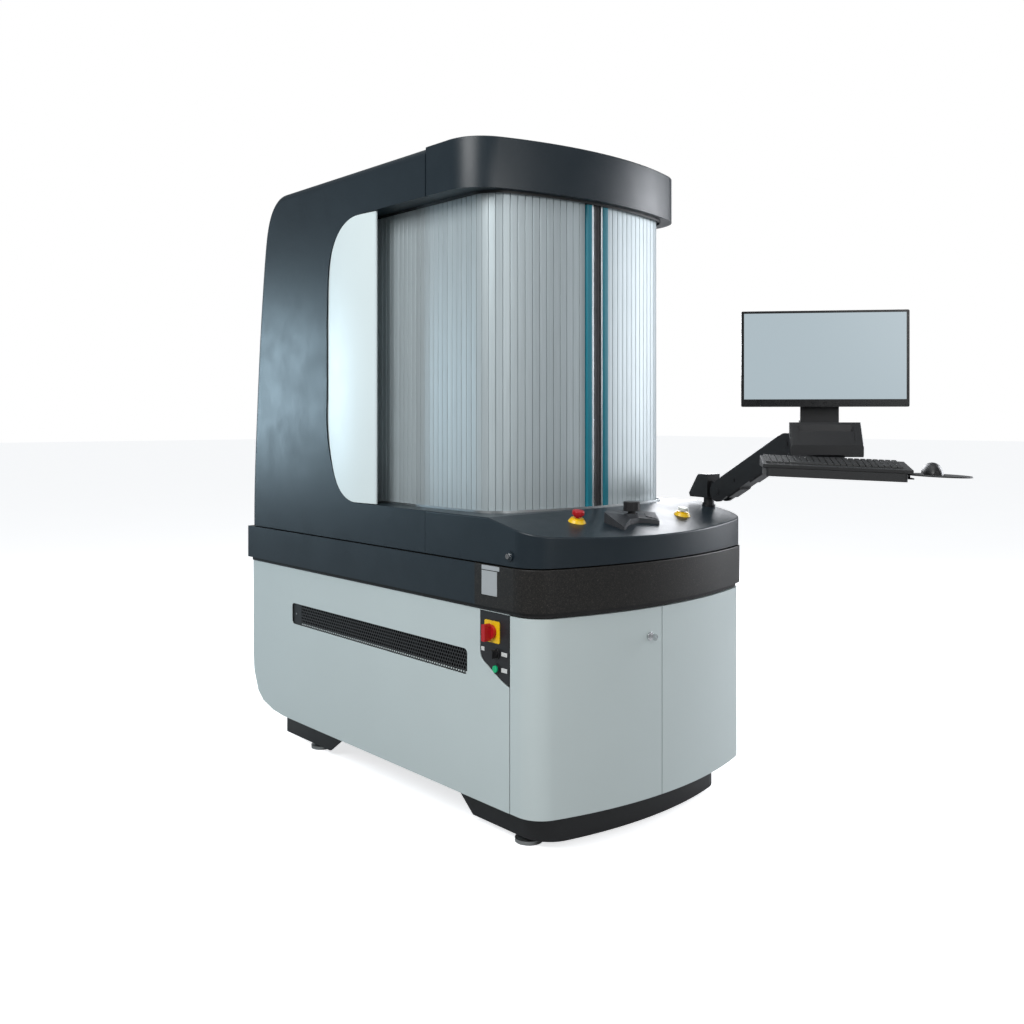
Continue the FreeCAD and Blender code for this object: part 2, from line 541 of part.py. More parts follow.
# ---------------------------------------------------------------- canopy
outer = slab(CANOPY_HW, CANOPY_CR, CANOPY_R, CANOPY_Y0, COVER_SEAM - 1.5, CANOPY_Z0, CANOPY_Z1)
outer = round_edges(outer, 5, lambda e: abs(e.BoundBox.ZMin - CANOPY_Z1) < 1e-3 and abs(e.BoundBox.ZMax - CANOPY_Z1) < 1e-3 and e.BoundBox.YMin < 600)
c = outer.cut(slab(CANOPY_HW - 4, CANOPY_CR - 4, CANOPY_R - 4, CANOPY_Y0 + 4, COVER_SEAM + 10, CANOPY_Z0 + 4, CANOPY_Z1 - 4))
put("canopy", c)
led = [rbox(x - 14, x + 14, 400, 600, 2040, 2049.9, 4) for x in (-330, 330)]
put("chamber_light_bars", group(led))

# accent panels, gently bowed outwards
acc = window(-525, -496, 924, 2.5).common(Part.makeCylinder(1500, 1300, V(-511 + 1500, 1087, 900), V(0, 0, 1)))
put("left_accent_panel", acc)
put("right_accent_panel", mx(acc))
tabs = []
for z in (1100, 1500, 1900):
    tabs.append(bx(-496, -476, 1000, 1080, z, z + 30))
    tabs.append(bx(-480, -476, 1000, 1300, z, z + 30))
    tabs.append(bx(-503.9, -476, 1276, 1300, z, z + 30))
tb = [fuse(tabs[i:i + 3]) for i in (0, 3, 6)]
put("accent_brackets", group(tb + [mx(s) for s in tb]))

# ---------------------------------------------------------------- roller curtain
def arc_piece(ri_y0, ri_y1, z0, z1, a0, a1):
    # strip between two depths, turned about the centre of the front bow, towards -X
    f = Part.Face(Part.makePolygon([V(0, ri_y0, z0), V(0, ri_y1, z0), V(0, ri_y1, z1), V(0, ri_y0, z1), V(0, ri_y0, z0)]))
    f.rotate(V(0, CURT_CY, 0), V(0, 0, 1), -a0)
    return f.revolve(V(0, CURT_CY, 0), V(0, 0, 1), -(a1 - a0))


A_IN = math.degrees((SEAL_W + TRIM_W + BAR_W + 0.8) / CURT_R)
A_OUT = math.degrees(math.asin(plan(CURT_HW, CURT_CR, CURT_R, CURT_Y0)[2] / CURT_R)) - 0.03
N_FRONT = 11
step = (A_OUT - A_IN) / N_FRONT
items = [arc_piece(329, 333, CURT_Z0, CURT_Z1, A_IN, A_OUT)]
for i in range(N_FRONT):
    items.append(arc_piece(325, 329.5, CURT_Z0, CURT_Z1, A_IN + i * step + 0.035, A_IN + (i + 1) * step - 0.035))
front_run = fuse(items)
put("left_curtain_front_run", front_run)
put("right_curtain_front_run", mx(front_run))

cx, cy, tx, ty = plan(CURT_HW, CURT_CR, CURT_R, CURT_Y0)
web = band(CURT_HW - 4, CURT_CR - 4, CURT_R - 4, CURT_Y0 + 4, 1530, CURT_Z0, CURT_Z1, 4)
web = web.common(xy([(-500, 300), (-tx - 0.3, 300), (-tx - 0.3, ty + 20), (-380, 480), (-380, 1530), (-500, 1530)], 1000, 2100))
pads = band(CURT_HW, CURT_CR, CURT_R, CURT_Y0, 1530, CURT_Z0, CURT_Z1, 4.5)
pads = pads.common(xy([(-500, 300), (-tx - 0.8, 300), (-tx - 0.8, ty + 20), (-380, 480), (-380, 1530), (-500, 1530)], 1000, 2100))
grooves = []
th0 = math.atan2(ty - cy, -(tx - cx))
for f in (0.5, 0.995):
    a = math.radians(180 + (1 - f) * (math.degrees(math.atan2(cy - ty, tx - cx))))
    px, py = -cx + 94 * math.cos(a), cy + 94 * math.sin(a)
    s = bx(-6, 6, -0.8, 0.8, CURT_Z0 - 1, CURT_Z1 + 1)
    s.rotate(V(0, 0, 0), V(0, 0, 1), math.degrees(a))
    s.translate(V(px, py, 0))
    grooves.append(s)
y = cy + SLAT_PITCH
while y < 1525:
    grooves.append(bx(-420, -412, y - 0.8, y + 0.8, CURT_Z0 - 1, CURT_Z1 + 1))
    y += SLAT_PITCH
pads = pads.cut(group(grooves))
side_run = web.fuse(pads).removeSplitter()
put("left_curtain_side_run", side_run)
put("right_curtain_side_run", mx(side_run))

# leading edges: coloured bar, bright trim, black seal, small end caps
def lead(x0, x1, y0, y1, z0, z1, r=0.0):
    s = bx(x0, x1, y0, y1, z0, z1)
    if r:
        s = round_edges(s, r, lambda e: vertical(e) and e.BoundBox.YMin < y0 + 0.1)
    a = math.degrees((x0 + x1) / 2 / CURT_R)
    s = moved(s, -(x0 + x1) / 2, 0, 0)
    s.rotate(V(0, CURT_CY, 0), V(0, 0, 1), a)
    return s


bar = lead(-SEAL_W - TRIM_W - BAR_W, -SEAL_W - TRIM_W - 0.1, 316, 336, CURT_Z0, CURT_Z1 - 6, 7)
put("left_curtain_bar", bar)
put("right_curtain_bar", mx(bar))
trim = lead(-SEAL_W - TRIM_W + 0.15, -SEAL_W - 0.1, 320, 336, CURT_Z0, CURT_Z1, 1.5)
capb = lead(-SEAL_W - TRIM_W - BAR_W + 1, -SEAL_W - TRIM_W - 1.2, 317.5, 334, CURT_Z1 - 5.9, CURT_Z1, 6)
put("left_bar_trim", group([trim, capb]))
put("right_bar_trim", group([mx(trim), mx(capb)]))
sl = lead(-SEAL_W + 0.1, -0.35, 324, 336, CURT_Z0, CURT_Z1, 3)
put("left_bar_seal", sl)
put("right_bar_seal", mx(sl))


def rail(z0, z1, lip0, lip1):
    # floor of the track and its two lips, round the front and back along both sides
    yb = 1525
    f = slab(CURT_HW + 14, CURT_CR + 14, CURT_R + 14, CURT_Y0 - 14, yb, z0, z1).cut(
        slab(CURT_HW - 16, CURT_CR - 16, CURT_R - 16, CURT_Y0 + 16, yb + 5, z0 - 1, z1 + 1))
    l1 = band(CURT_HW + 14, CURT_CR + 14, CURT_R + 14, CURT_Y0 - 14, yb, lip0, lip1, 2.5)
    l2 = band(CURT_HW - 13.5, CURT_CR - 13.5, CURT_R - 13.5, CURT_Y0 + 13.5, yb, lip0, lip1, 2.5)
    return fuse([f, l1, l2])


rl = rail(SILL_Z, SILL_Z + 2, SILL_Z, SILL_Z + 7)
rh = rail(CANOPY_Z0 - 2, CANOPY_Z0, CANOPY_Z0 - 9, CANOPY_Z0)
rh = rh.cut(bx(-345, -315, 395, 605, 2030, 2051)).cut(bx(315, 345, 395, 605, 2030, 2051))
put("curtain_rails", group([rl, rh]))

DRUM_X, DRUM_Y, DRUM_R = 338.0, 1600.0, 58.0
drum = fuse([ring(DRUM_R, DRUM_R - 5, -DRUM_X, DRUM_Y, CURT_Z0 + 10, CURT_Z1 - 12), cz(64, -DRUM_X, DRUM_Y, CURT_Z0 + 6, CURT_Z0 + 10),
             cz(64, -DRUM_X, DRUM_Y, CURT_Z1 - 12, CURT_Z1 - 8), cz(10, -DRUM_X, DRUM_Y, CURT_Z0 - 24, CURT_Z1 + 16)])
drum = drum.cut(bx(-DRUM_X - DRUM_R - 1, -DRUM_X - DRUM_R + 3, DRUM_Y - 4, DRUM_Y + 4, CURT_Z0 + 12, CURT_Z1 - 14))
put("left_winding_drum", drum)
put("right_winding_drum", mx(drum))
db = fuse([bx(-DRUM_X - 40, -DRUM_X + 40, DRUM_Y - 40, DRUM_Y + 40, CURT_Z0 - 26, CURT_Z0 - 12),
           bx(-DRUM_X - 40, -DRUM_X + 40, DRUM_Y + 30, DRUM_Y + 38, GRANITE_Z1, CURT_Z0 - 12),
           bx(-DRUM_X - 40, -DRUM_X + 40, DRUM_Y - 40, DRUM_Y + 38, GRANITE_Z1, GRANITE_Z1 + 8)]).cut(
    cz(10.3, -DRUM_X, DRUM_Y, CURT_Z0 - 40, CURT_Z0))
dt = fuse([bx(-DRUM_X - 40, -DRUM_X + 40, DRUM_Y - 40, DRUM_Y + 76, CURT_Z1 + 4, CURT_Z1 + 16),
           bx(-DRUM_X - 40, -DRUM_X + 40, DRUM_Y + 68, DRUM_Y + 76, GRANITE_Z1, CURT_Z1 + 16),
           bx(-DRUM_X - 40, -DRUM_X + 40, DRUM_Y + 38.5, DRUM_Y + 120, GRANITE_Z1, GRANITE_Z1 + 8)]).cut(
    cz(10.3, -DRUM_X, DRUM_Y, CURT_Z1, CURT_Z1 + 30))
put("drum_bearings", group([db, dt, mx(db), mx(dt)]))

# ---------------------------------------------------------------- measuring machine inside
rails = []
for sx in (-1, 1):
    rails.append(fuse([bx(sx * RAIL_X - 22, sx * RAIL_X + 22, 690, 1525, GRANITE_Z1, GRANITE_Z1 + 12),
                       bx(sx * RAIL_X - 14, sx * RAIL_X + 14, 690, 1525, GRANITE_Z1 + 11, GRANITE_Z1 + 36)]))
rails.append(bx(RAIL_X - 50, RAIL_X - 28, 690, 1525, GRANITE_Z1, GRANITE_Z1 + 12))
put("y_guideways", group(rails))
by = BRIDGE_Y
bridge = []
for sx in (-1, 1):
    x = sx * RAIL_X
    shoe = bx(x - 36, x + 36, by - 110, by + 110, GRANITE_Z1 + 14, GRANITE_Z1 + 76).cut(
        bx(x - 14.3, x + 14.3, by - 120, by + 120, GRANITE_Z1 + 5, GRANITE_Z1 + 36.3))
    leg = poly([(x - 32, by - 75, GRANITE_Z1 + 75), (x - 32, by + 75, GRANITE_Z1 + 75), (x - 32, by + 60, 1681), (x - 32, by - 60, 1681)], (64, 0, 0))
    bridge += [shoe, leg]
bridge.append(bx(-RAIL_X + 30, RAIL_X - 30, by - 60, by + 60, 1520, 1680).cut(bx(-RAIL_X + 40, RAIL_X - 40, by - 48, by + 48, 1532, 1668)))
bridge.append(bx(-290, 290, by - 66, by - 58, 1540, 1560))
bridge.append(bx(-290, 290, by - 66, by - 58, 1640, 1660))
put("measuring_bridge", fuse(bridge))
put("x_scale", bx(-288, 288, by - 62, by - 60.1, 1590, 1606))
car = fuse([bx(-100, 100, RAM_Y - 62, by - 66.5, 1500, 1720), bx(-100, 100, by - 80, by + 66, 1682, 1700), bx(-100, 100, by + 61, by + 76, 1560, 1700)])
car = car.cut(bx(-40.4, 40.4, RAM_Y - 40.4, RAM_Y + 40.4, 1400, 1800))
put("x_carriage", round_edges(car, 6, lambda e: vertical(e) and e.BoundBox.YMin < RAM_Y - 61 and abs(abs(e.BoundBox.XMin) - 100) < 1))
cyl = ring(16, 8.3, 70, RAM_Y - 30, 1720, 2010).fuse(ring(20, 8.3, 70, RAM_Y - 30, 1720.1, 1730))
put("balance_cylinder", cyl.removeSplitter())
ram = bx(-40, 40, RAM_Y - 40, RAM_Y + 40, RAM_Z, RAM_Z + 560).cut(bx(-32, 32, RAM_Y - 32, RAM_Y + 32, RAM_Z + 15, RAM_Z + 600))
ram = ram.fuse(bx(-40, 84, RAM_Y - 40, RAM_Y - 18, 1462, 1474)).removeSplitter()
ram = ram.cut(cz(4.1, 70, RAM_Y - 30, 1400, 1480))
put("z_ram", ram)
c2 = OUT["x_carriage"].cut(cz(8.3, 70, RAM_Y - 30, 1400, 1800))
c2 = c2.cut(bx(39, 88, RAM_Y - 44, RAM_Y - 14, 1400, 1501))
put("x_carriage", c2)
put("balance_rod", fuse([cz(4, 70, RAM_Y - 30, 1455, 1960), cz(7.9, 70, RAM_Y - 30, 1960, 1985)]))
pz = RAM_Z - 1290.0
put("probe_head_body", fuse([rbox(-38, 38, RAM_Y - 38, RAM_Y + 38, 1280 + pz, 1290 + pz, 8), cz(31, 0, RAM_Y, 1246 + pz, 1281 + pz)]))
PROBE_Z = 1182.0 + pz      # tilt axis of the probe head
pr = fuse([cz(30, 0, RAM_Y, 1222 + pz, 1245.5 + pz), bx(-30, -19, RAM_Y - 18, RAM_Y + 18, 1165 + pz, 1223 + pz),
           bx(19, 30, RAM_Y - 18, RAM_Y + 18, 1165 + pz, 1223 + pz)])
pr = pr.cut(rod(6.3, (-40, RAM_Y, PROBE_Z), (40, RAM_Y, PROBE_Z)))
put("probe_rotary_body", pr)
put("probe_tilt_body", fuse([Part.makeSphere(17.5, V(0, RAM_Y, PROBE_Z)), rod(6, (-29, RAM_Y, PROBE_Z), (29, RAM_Y, PROBE_Z)),
                             cz(12.5, 0, RAM_Y, 1125 + pz, 1172 + pz), cz(9, 0, RAM_Y, 1108 + pz, 1126 + pz)]))
put("probe_stylus", fuse([Part.makeCone(2, 6, 12, V(0, RAM_Y, 1095.9 + pz)), cz(1.6, 0, RAM_Y, 1054 + pz, 1097 + pz), Part.makeSphere(3, V(0, RAM_Y, 1052 + pz))]))

tb_ = cz(160, 0, TABLE_Y, GRANITE_Z1, 920).cut(cz(60, 0, TABLE_Y, 880, 930))
tb_ = round_edges(tb_, 4, lambda e: abs(e.BoundBox.ZMin - 920) < 1e-3 and e.BoundBox.XLength > 300)
put("rotary_table_base", tb_)
pt = fuse([cz(140, 0, TABLE_Y, 921, 955), cz(50, 0, TABLE_Y, 882, 922)]).cut(cz(15, 0, TABLE_Y, 870, 960))
tsl = []
for i in range(4):
    s = bx(30, 150, -4, 4, 945, 960).fuse(bx(30, 150, -8, 8, 937, 946))
    tsl.append(moved(turned(s, (0, 0, 0), (0, 0, 1), 90 * i), 0, TABLE_Y, 0))
pt = pt.cut(group(tsl))
TB_PCD = 180.0
for i in range(4):
    a = math.radians(45 + 90 * i)
    pt = pt.cut(cz(4.25, TB_PCD / 2 * math.cos(a), TABLE_Y + TB_PCD / 2 * math.sin(a), 930, 960))
put("rotary_table_platter", pt)

# ---------------------------------------------------------------- lower cabinet contents
cc = bx(-120, 330, 700, 1150, 128, 500).cut(bx(-117, 327, 703, 1147, 131, 497))
cc = cc.cut(group([bx(-60, 270, 690, 710, 200 + 18 * i, 206 + 18 * i) for i in range(8)]))
cc = fuse([cc, bx(-121, 331, 698, 700.5, 470, 490), bx(-100, -40, 760, 1100, 125.6, 128.5), bx(250, 310, 760, 1100, 125.6, 128.5)])
put("controller_cabinet", cc)
bo = fuse([bx(-116, 326, 712, 1140, 132, 136)] + [bx(-100 + 62 * i, -96 + 62 * i, 740, 1120, 135, 440) for i in range(7)])
put("controller_boards", bo)
ps = bx(-330, -150, 760, 1060, 125.6, 330)
ps = ps.cut(group([bx(-335, -326, 790 + 24 * i, 800 + 24 * i, 180, 290) for i in range(10)]))
put("power_supply", ps)
air = fuse([bx(330, 440, 1330, 1440, 186, 200), bx(356, 410, 1356, 1410, 199, 300), rod(22, (383, 1383, 300), (383, 1383, 350)), rod(26, (383, 1383, 340), (383, 1383, 362)),
            rod(8, (383, 1410, 262), (383, 1452, 262)), rod(22, (383, 1383, 262), (352, 1383, 262))])
air = air.common(bx(300, 500, 1300, 1449, 150, 500))
put("air_service_unit", air)
duct = fuse([bx(-330, 330, 1380, 1440, 400, 460), bx(-30, 30, 1160, 1381, 400, 460), bx(-30, 30, 1155, 1180, 300, 460)])
put("cable_duct", duct)

rp = bx(-496, 496, 1840, 1843, 330, 717)
FAN_X, FAN_Z = -250.0, 520.0
rp = rp.cut(rod(56, (FAN_X, 1830, FAN_Z), (FAN_X, 1850, FAN_Z)))
rp = rp.cut(group([bx(60, 380, 1830, 1850, 420 + 22 * i, 429 + 22 * i) for i in range(8)]))
IN_X, IN_Z = 420.0, 370.0
rp = rp.cut(rod(11, (IN_X, 1830, IN_Z), (IN_X, 1850, IN_Z)))
rp = fuse([rp, bx(-476, 476, 1818, 1843, 714, 717), bx(-476, 476, 1818, 1843, 330, 333)])
put("rear_lower_panel", rp)
put("air_inlet_coupling", fuse([rod(14, (IN_X, 1843.1, IN_Z), (IN_X, 1848, IN_Z)), rod(10.8, (IN_X, 1825, IN_Z), (IN_X, 1844, IN_Z)),
                                rod(9, (IN_X, 1848, IN_Z), (IN_X, 1862, IN_Z))]).cut(rod(5, (IN_X, 1820, IN_Z), (IN_X, 1870, IN_Z))))
ff = bx(FAN_X - 60, FAN_X + 60, 1802, 1839.9, FAN_Z - 60, FAN_Z + 60).cut(rod(57, (FAN_X, 1790, FAN_Z), (FAN_X, 1850, FAN_Z)))
ff = fuse([ff, bx(FAN_X - 60, FAN_X + 60, 1802, 1806, FAN_Z - 5, FAN_Z + 5), bx(FAN_X - 5, FAN_X + 5, 1802, 1806, FAN_Z - 60, FAN_Z + 60),
           rod(21, (FAN_X, 1802, FAN_Z), (FAN_X, 1808, FAN_Z)), rod(4, (FAN_X, 1805, FAN_Z), (FAN_X, 1828, FAN_Z))])
put("fan_frame", ff)
bl = [rod(22, (FAN_X, 1810, FAN_Z), (FAN_X, 1834, FAN_Z)).cut(rod(4.3, (FAN_X, 1805, FAN_Z), (FAN_X, 1829, FAN_Z)))]
for i in range(7):
    b = Part.makeBox(36, 2.4, 26, V(18, -1.2, -13))
    b.rotate(V(0, 0, 0), V(1, 0, 0), 38)
    b.rotate(V(0, 0, 0), V(0, 0, 1), 360.0 / 7 * i)
    b.rotate(V(0, 0, 0), V(1, 0, 0), -90)
    b.translate(V(FAN_X, 1822, FAN_Z))
    bl.append(b)
put("fan_rotor", fuse(bl).common(rod(54, (FAN_X, 1808.5, FAN_Z), (FAN_X, 1836, FAN_Z))))
gd = [rod(r + 1.2, (FAN_X, 1843.2, FAN_Z), (FAN_X, 1845.6, FAN_Z)).cut(rod(r - 1.2, (FAN_X, 1840, FAN_Z), (FAN_X, 1850, FAN_Z))) for r in (20, 32, 44, 56)]
gd += [bx(FAN_X - 58, FAN_X + 58, 1843.2, 1845.6, FAN_Z - 1.2, FAN_Z + 1.2), bx(FAN_X - 1.2, FAN_X + 1.2, 1843.2, 1845.6, FAN_Z - 58, FAN_Z + 58)]
put("fan_guard", fuse(gd))

# ---------------------------------------------------------------- joystick console
FP = [(-143, 60), (-104, 86), (-62, 110), (-12, 116), (22, 103), (50, 84), (104, 152), (52, 204), (0, 222), (-62, 214), (-141, 151)]


def con_top(pts, z0, tops):
    # lofted block on the worktop: lower outline at z0 above the deck, heights per corner
    lo = [V(x, y, deck_z(y) + z0) for x, y in pts]
    hi = [V(x, y, deck_z(y) + t) for (x, y), t in zip(pts, tops)]
    faces = []
    n = len(pts)
    cxm, cym = -15.0, 160.0
    cl = V(cxm, cym, deck_z(cym) + z0)
    ch = V(cxm, cym, deck_z(cym) + 14)
    for i in range(n):
        j = (i + 1) % n
        for tri in ((lo[i], lo[j], hi[j]), (lo[i], hi[j], hi[i]), (ch, hi[i], hi[j]), (cl, lo[j], lo[i])):
            faces.append(Part.Face(Part.makePolygon(list(tri) + [tri[0]])))
    return Part.makeSolid(Part.makeShell(faces))


tops = [11, 15, 18, 17, 15, 12, 18, 16, 14, 20, 34]
shell = con_top(FP, 0.3, tops)
if shell.Volume < 0:
    shell.reverse()
JZ = deck_z(CON_Y) + 6.0
shell = shell.cut(cz(20, CON_X, CON_Y, JZ - 2.8, 1100))
shell = shell.fuse(ring(24, 20, CON_X, CON_Y, deck_z(CON_Y) + 6.5, 1002.0)).removeSplitter()
put("console_housing", shell)
# keypad and small display let into the right lobe
k0 = V(-15, 160, deck_z(160) + 14)
k1 = V(50, 84, deck_z(84) + 12)
k2 = V(104, 152, deck_z(152) + 18)
kn_ = k1.sub(k0).cross(k2.sub(k0)).normalize()
ku = k2.sub(k1).normalize()
kv = kn_.cross(ku)


def on_keypad(u, v, h):
    # u along the outer edge, v towards the joystick, h above the lobe's face
    m = V((k1.x + k2.x) / 2, (k1.y + k2.y) / 2, (k1.z + k2.z) / 2)
    return m + ku * u + kv * v + kn_ * h


KV = 1.0 if kv.dot(k0.sub(k1)) > 0 else -1.0
kp = poly([tuple(on_keypad(u, KV * v, 0.05)) for u, v in ((-33, 4), (35, 4), (24, 42), (-16, 42))], tuple(kn_ * 1.8))
put("console_keypad", kp)
gim = ring(17, 13.5, CON_X, CON_Y, JZ + 1, JZ + 7)
gim = fuse([gim, rod(2, (CON_X - 19.5, CON_Y, JZ + 4), (CON_X - 16, CON_Y, JZ + 4)), rod(2, (CON_X + 16, CON_Y, JZ + 4), (CON_X + 19.5, CON_Y, JZ + 4))])
put("joystick_gimbal", gim)
stick = fuse([cz(9.5, CON_X, CON_Y, JZ + 0.5, JZ + 9), cz(5, CON_X, CON_Y, JZ + 8, 1025), rod(2, (CON_X, CON_Y - 13, JZ + 4), (CON_X, CON_Y - 8, JZ + 4)),
              rod(2, (CON_X, CON_Y + 8, JZ + 4), (CON_X, CON_Y + 13, JZ + 4)),
              Part.makeCone(15, 12, 9.5, V(CON_X, CON_Y, 1000.5))])
put("joystick_stick", stick)
kn = round_edges(cz(27.5, CON_X, CON_Y, 1011, 1042), 3, lambda e: abs(e.BoundBox.ZMin - 1042) < 1e-3)
kn = kn.cut(cz(5.4, CON_X, CON_Y, 1000, 1027))
kn = kn.cut(cz(14, CON_X, CON_Y, 1000, 1013))
for i in range(24):
    a = math.radians(15 * i)
    kn = kn.cut(cz(1.1, CON_X + 28 * math.cos(a), CON_Y + 28 * math.sin(a), 1000, 1038))
put("joystick_knob", kn)

# ---------------------------------------------------------------- monitor arm (built along +X, then turned)
PA, PB = (70.0, 1052.0), (395.0, 1230.0)


def arm(s):
    return set_at(s, ARM_X, ARM_Y, ARM_A)


ps_ = on_deck(cz(24, 0, 0, 0.2, 9), ARM_X - 2, ARM_Y)
post = arm(fuse([cz(19, 0, 0, 1000.5, 1026), cz(10, 0, 0, 905, 1001), cz(9, 0, 0, 1020, 1088)]))
put("arm_post", fuse([post, ps_]).common(bx(-600, ARM_X + 26, -600, 600, 800, 1200)))
hs = xz([(-68, 1027), (24, 1027), (24, 1112), (-22, 1112), (-30, 1106), (-74, 1040)], -31, 31)
hs = fuse([hs, xz([(22, 1028), (PA[0], 1027), (PA[0], 1077), (22, 1090)], -14.5, 14.5), rod(25, (PA[0], -14.5, PA[1]), (PA[0], 14.5, PA[1]))])
hs = hs.cut(cz(9.3, 0, 0, 1000, 1092)).cut(rod(8, (PA[0], -20, PA[1]), (PA[0], 20, PA[1])))
put("arm_swivel_housing", arm(hs))
put("arm_lower_pin", arm(fuse([rod(7.95, (PA[0], -14.6, PA[1]), (PA[0], 14.6, PA[1])), rod(7.6, (PA[0], -26, PA[1]), (PA[0], 26, PA[1]))])))
th = math.atan2(PB[1] - PA[1], PB[0] - PA[0])
LEN = math.hypot(PB[1] - PA[1], PB[0] - PA[0])
lk = []
body = bx(40, LEN - 18, -28, 28, -43, 40)
body = round_edges(body, 6, lambda e: e.BoundBox.XLength > 100)
chk = [bx(0, 60, -28, -15.2, -36, 36), bx(0, 60, 15.2, 28, -36, 36), rod(36, (0, -28, 0), (0, -15.2, 0)), rod(36, (0, 15.2, 0), (0, 28, 0)),
       bx(LEN - 40, LEN, -28, 28, -36, 36), rod(36, (LEN, -28, 0), (LEN, 28, 0))]
L = fuse([body] + chk)
L = L.cut(rod(37.5, (0, -15.2, 0), (0, 15.2, 0))).cut(rod(7.9, (0, -27, 0), (0, 27, 0))).cut(rod(10.3, (LEN, -8, 0), (LEN, 40, 0)))
L = L.cut(poly([(95, -40, -60), (150, -40, -60), (165, -40, -37), (110, -40, -37)], (0, 80, 0)))
L.rotate(V(0, 0, 0), V(0, 1, 0), -math.degrees(th))
L.translate(V(PA[0], 0, PA[1]))
put("arm_link", arm(L))
bolt = fuse([rod(6.5, (95, -31, 0), (95, -28, 0)), rod(8, (0, -29.5, 0), (0, -28, 0))])
bolt = group([rod(6.5, (95, -31, 0), (95, -28.02, 0)), rod(12, (0, -30, 0), (0, -28.02, 0)), rod(12, (LEN, -30, 0), (LEN, -28.02, 0))])
bolt.rotate(V(0, 0, 0), V(0, 1, 0), -math.degrees(th))
bolt.translate(V(PA[0], 0, PA[1]))
put("arm_bolts", arm(bolt))


def mon(s):
    return set_at(s, MON_X, MON_Y, MON_A)


SWX, SWY = -10.0, 75.0     # swivel of the screen on the arm head, in the screen's frame


# ---------------------------------------------------------------- monitor and keyboard carrier (x to the viewer's right, -y towards the viewer)
pin = arm(fuse([rod(10, (PB[0], -7.5, PB[1]), (PB[0], 82, PB[1])), rod(16, (PB[0], 28.4, PB[1]), (PB[0], 70, PB[1]))]))
blk = round_edges(bx(-50, 40, 40, 108, 1196, 1288), 8, vertical)
hd = fuse([mon(fuse([blk, bx(-38, 30, -24, 44, 1204, 1280)])), pin])
hd = hd.cut(mon(cz(12.3, SWX, SWY, 1210, 1300)))
put("arm_head_block", hd)
carrier = fuse([cz(12, SWX, SWY, 1212, 1300), cz(26, SWX, SWY, 1289, 1297), bx(-72, 54, 54, 100, 1296, 1308),
                bx(-72, 54, 54, 64, 1296, 1560), bx(-50, -42, 35, 56, 1490, 1510), bx(24, 32, 35, 56, 1490, 1510),
                rod(6, (-50, 42, 1500), (32, 42, 1500))])
put("monitor_neck", mon(carrier))
# wedge shaped holder with a sunk face under the screen
hold = yz([(-24.2, 1190), (-24.2, 1302), (-32, 1302), (-88, 1229), (-88, 1197), (-81, 1190)], -117, 111)
hold = hold.cut(yz([(-42, 1320), (-42, 1283), (-77, 1237.5), (-90, 1254)], -92, 86))
hold = hold.cut(yz([(-36, 1310), (-50, 1290), (-50, 1258), (-40, 1266)], -88, 82))
hold = round_edges(hold, 5, lambda e: e.BoundBox.XLength < 1e-3 and e.BoundBox.YLength > 50 and e.BoundBox.ZLength > 60)
put("holder_box", mon(hold))
MW, MZ0, MZ1 = 270.5, 1353.2, 1671.4
ms = rbox(-MW, MW, 0, 12, MZ0, MZ1, 1)
ms = round_edges(bx(-MW, MW, 0, 12, MZ0, MZ1), 5, lambda e: e.BoundBox.YLength > 10 and e.BoundBox.XLength < 1e-3)
bulge = Part.makeLoft([Part.makePolygon([V(-x, y, z0), V(x, y, z0), V(x, y, z1), V(-x, y, z1), V(-x, y, z0)]) for x, y, z0, z1 in
                       ((235, 11.5, 1372, 1640), (150, 28, 1400, 1600))], True)
ms = fuse([ms, bulge]).cut(bx(-261.5, 261.5, -1, 2.2, 1378, 1663.8))
ms = ms.cut(group([bx(-120 + 12 * i, -114 + 12 * i, 20, 40, 1585, 1593) for i in range(20)]))
put("monitor_shell", mon(ms))
put("monitor_screen", mon(bx(-261.2, 261.2, 0.4, 2.1, 1378.3, 1663.5)))
mb = fuse([bx(-60, 40, 28.05, 31.5, 1450, 1550), bx(-41, 23, 30, 36, 1488, 1512), rod(11, (-41, 42, 1500), (23, 42, 1500))]).cut(
    rod(6.3, (-60, 42, 1500), (60, 42, 1500)))
put("monitor_tilt_bracket", mon(mb))
TRAY_ROLL = 2.25
TRX, TRY, TRZ = 0.0, -213.5, 1156.0


def tray_at(s):
    c = s.copy()
    c.rotate(V(0, 0, 0), V(0, 1, 0), TRAY_ROLL)
    c.translate(V(TRX, TRY, TRZ))
    return mon(c)


# tray support under the holder; hinge axis runs across at the back of the tray
AX_Y, AX_Z = 140.0, -13.0
sup = fuse([bx(-50, 50, 104, 180, 13, 24), bx(-50, -40, 112, 160, -24, 24), bx(40, 50, 112, 160, -24, 24), rod(5, (-50, AX_Y, AX_Z), (50, AX_Y, AX_Z))])
sup = tray_at(sup)
blk = mon(bx(-52, 52, -84, -36, 1171, 1190.0))
put("tray_support", fuse([sup, blk]))
tr = fuse([rbox(-212, 205, -88, 92, -25, 0, 14), bx(-39, 39, 91, 141, -24, -8), rod(9, (-39, AX_Y, AX_Z), (39, AX_Y, AX_Z))])
tr = tr.cut(bx(-206, 199, -82, 86, -26, -3)).cut(rod(5.3, (-60, AX_Y, AX_Z), (60, AX_Y, AX_Z)))
PIV_X = 222.0              # mouse plate pivot
tr = fuse([tr, bx(120, 236, -20, 20, -19, -15), bx(-45, 45, 60, 100, -22, -3).cut(rod(5.3, (-60, AX_Y, AX_Z), (60, AX_Y, AX_Z))),
           cz(6, PIV_X, 0, -19, -2.5), bx(118, 124, -40, 40, -19, -2)])
put("keyboard_tray", tray_at(tr))
kb = yz([(-74, 0.3), (74, 0.3), (74, 30), (70, 32), (-74, 11)], -222, 222)
put("keyboard_body", tray_at(kb))
keys = []
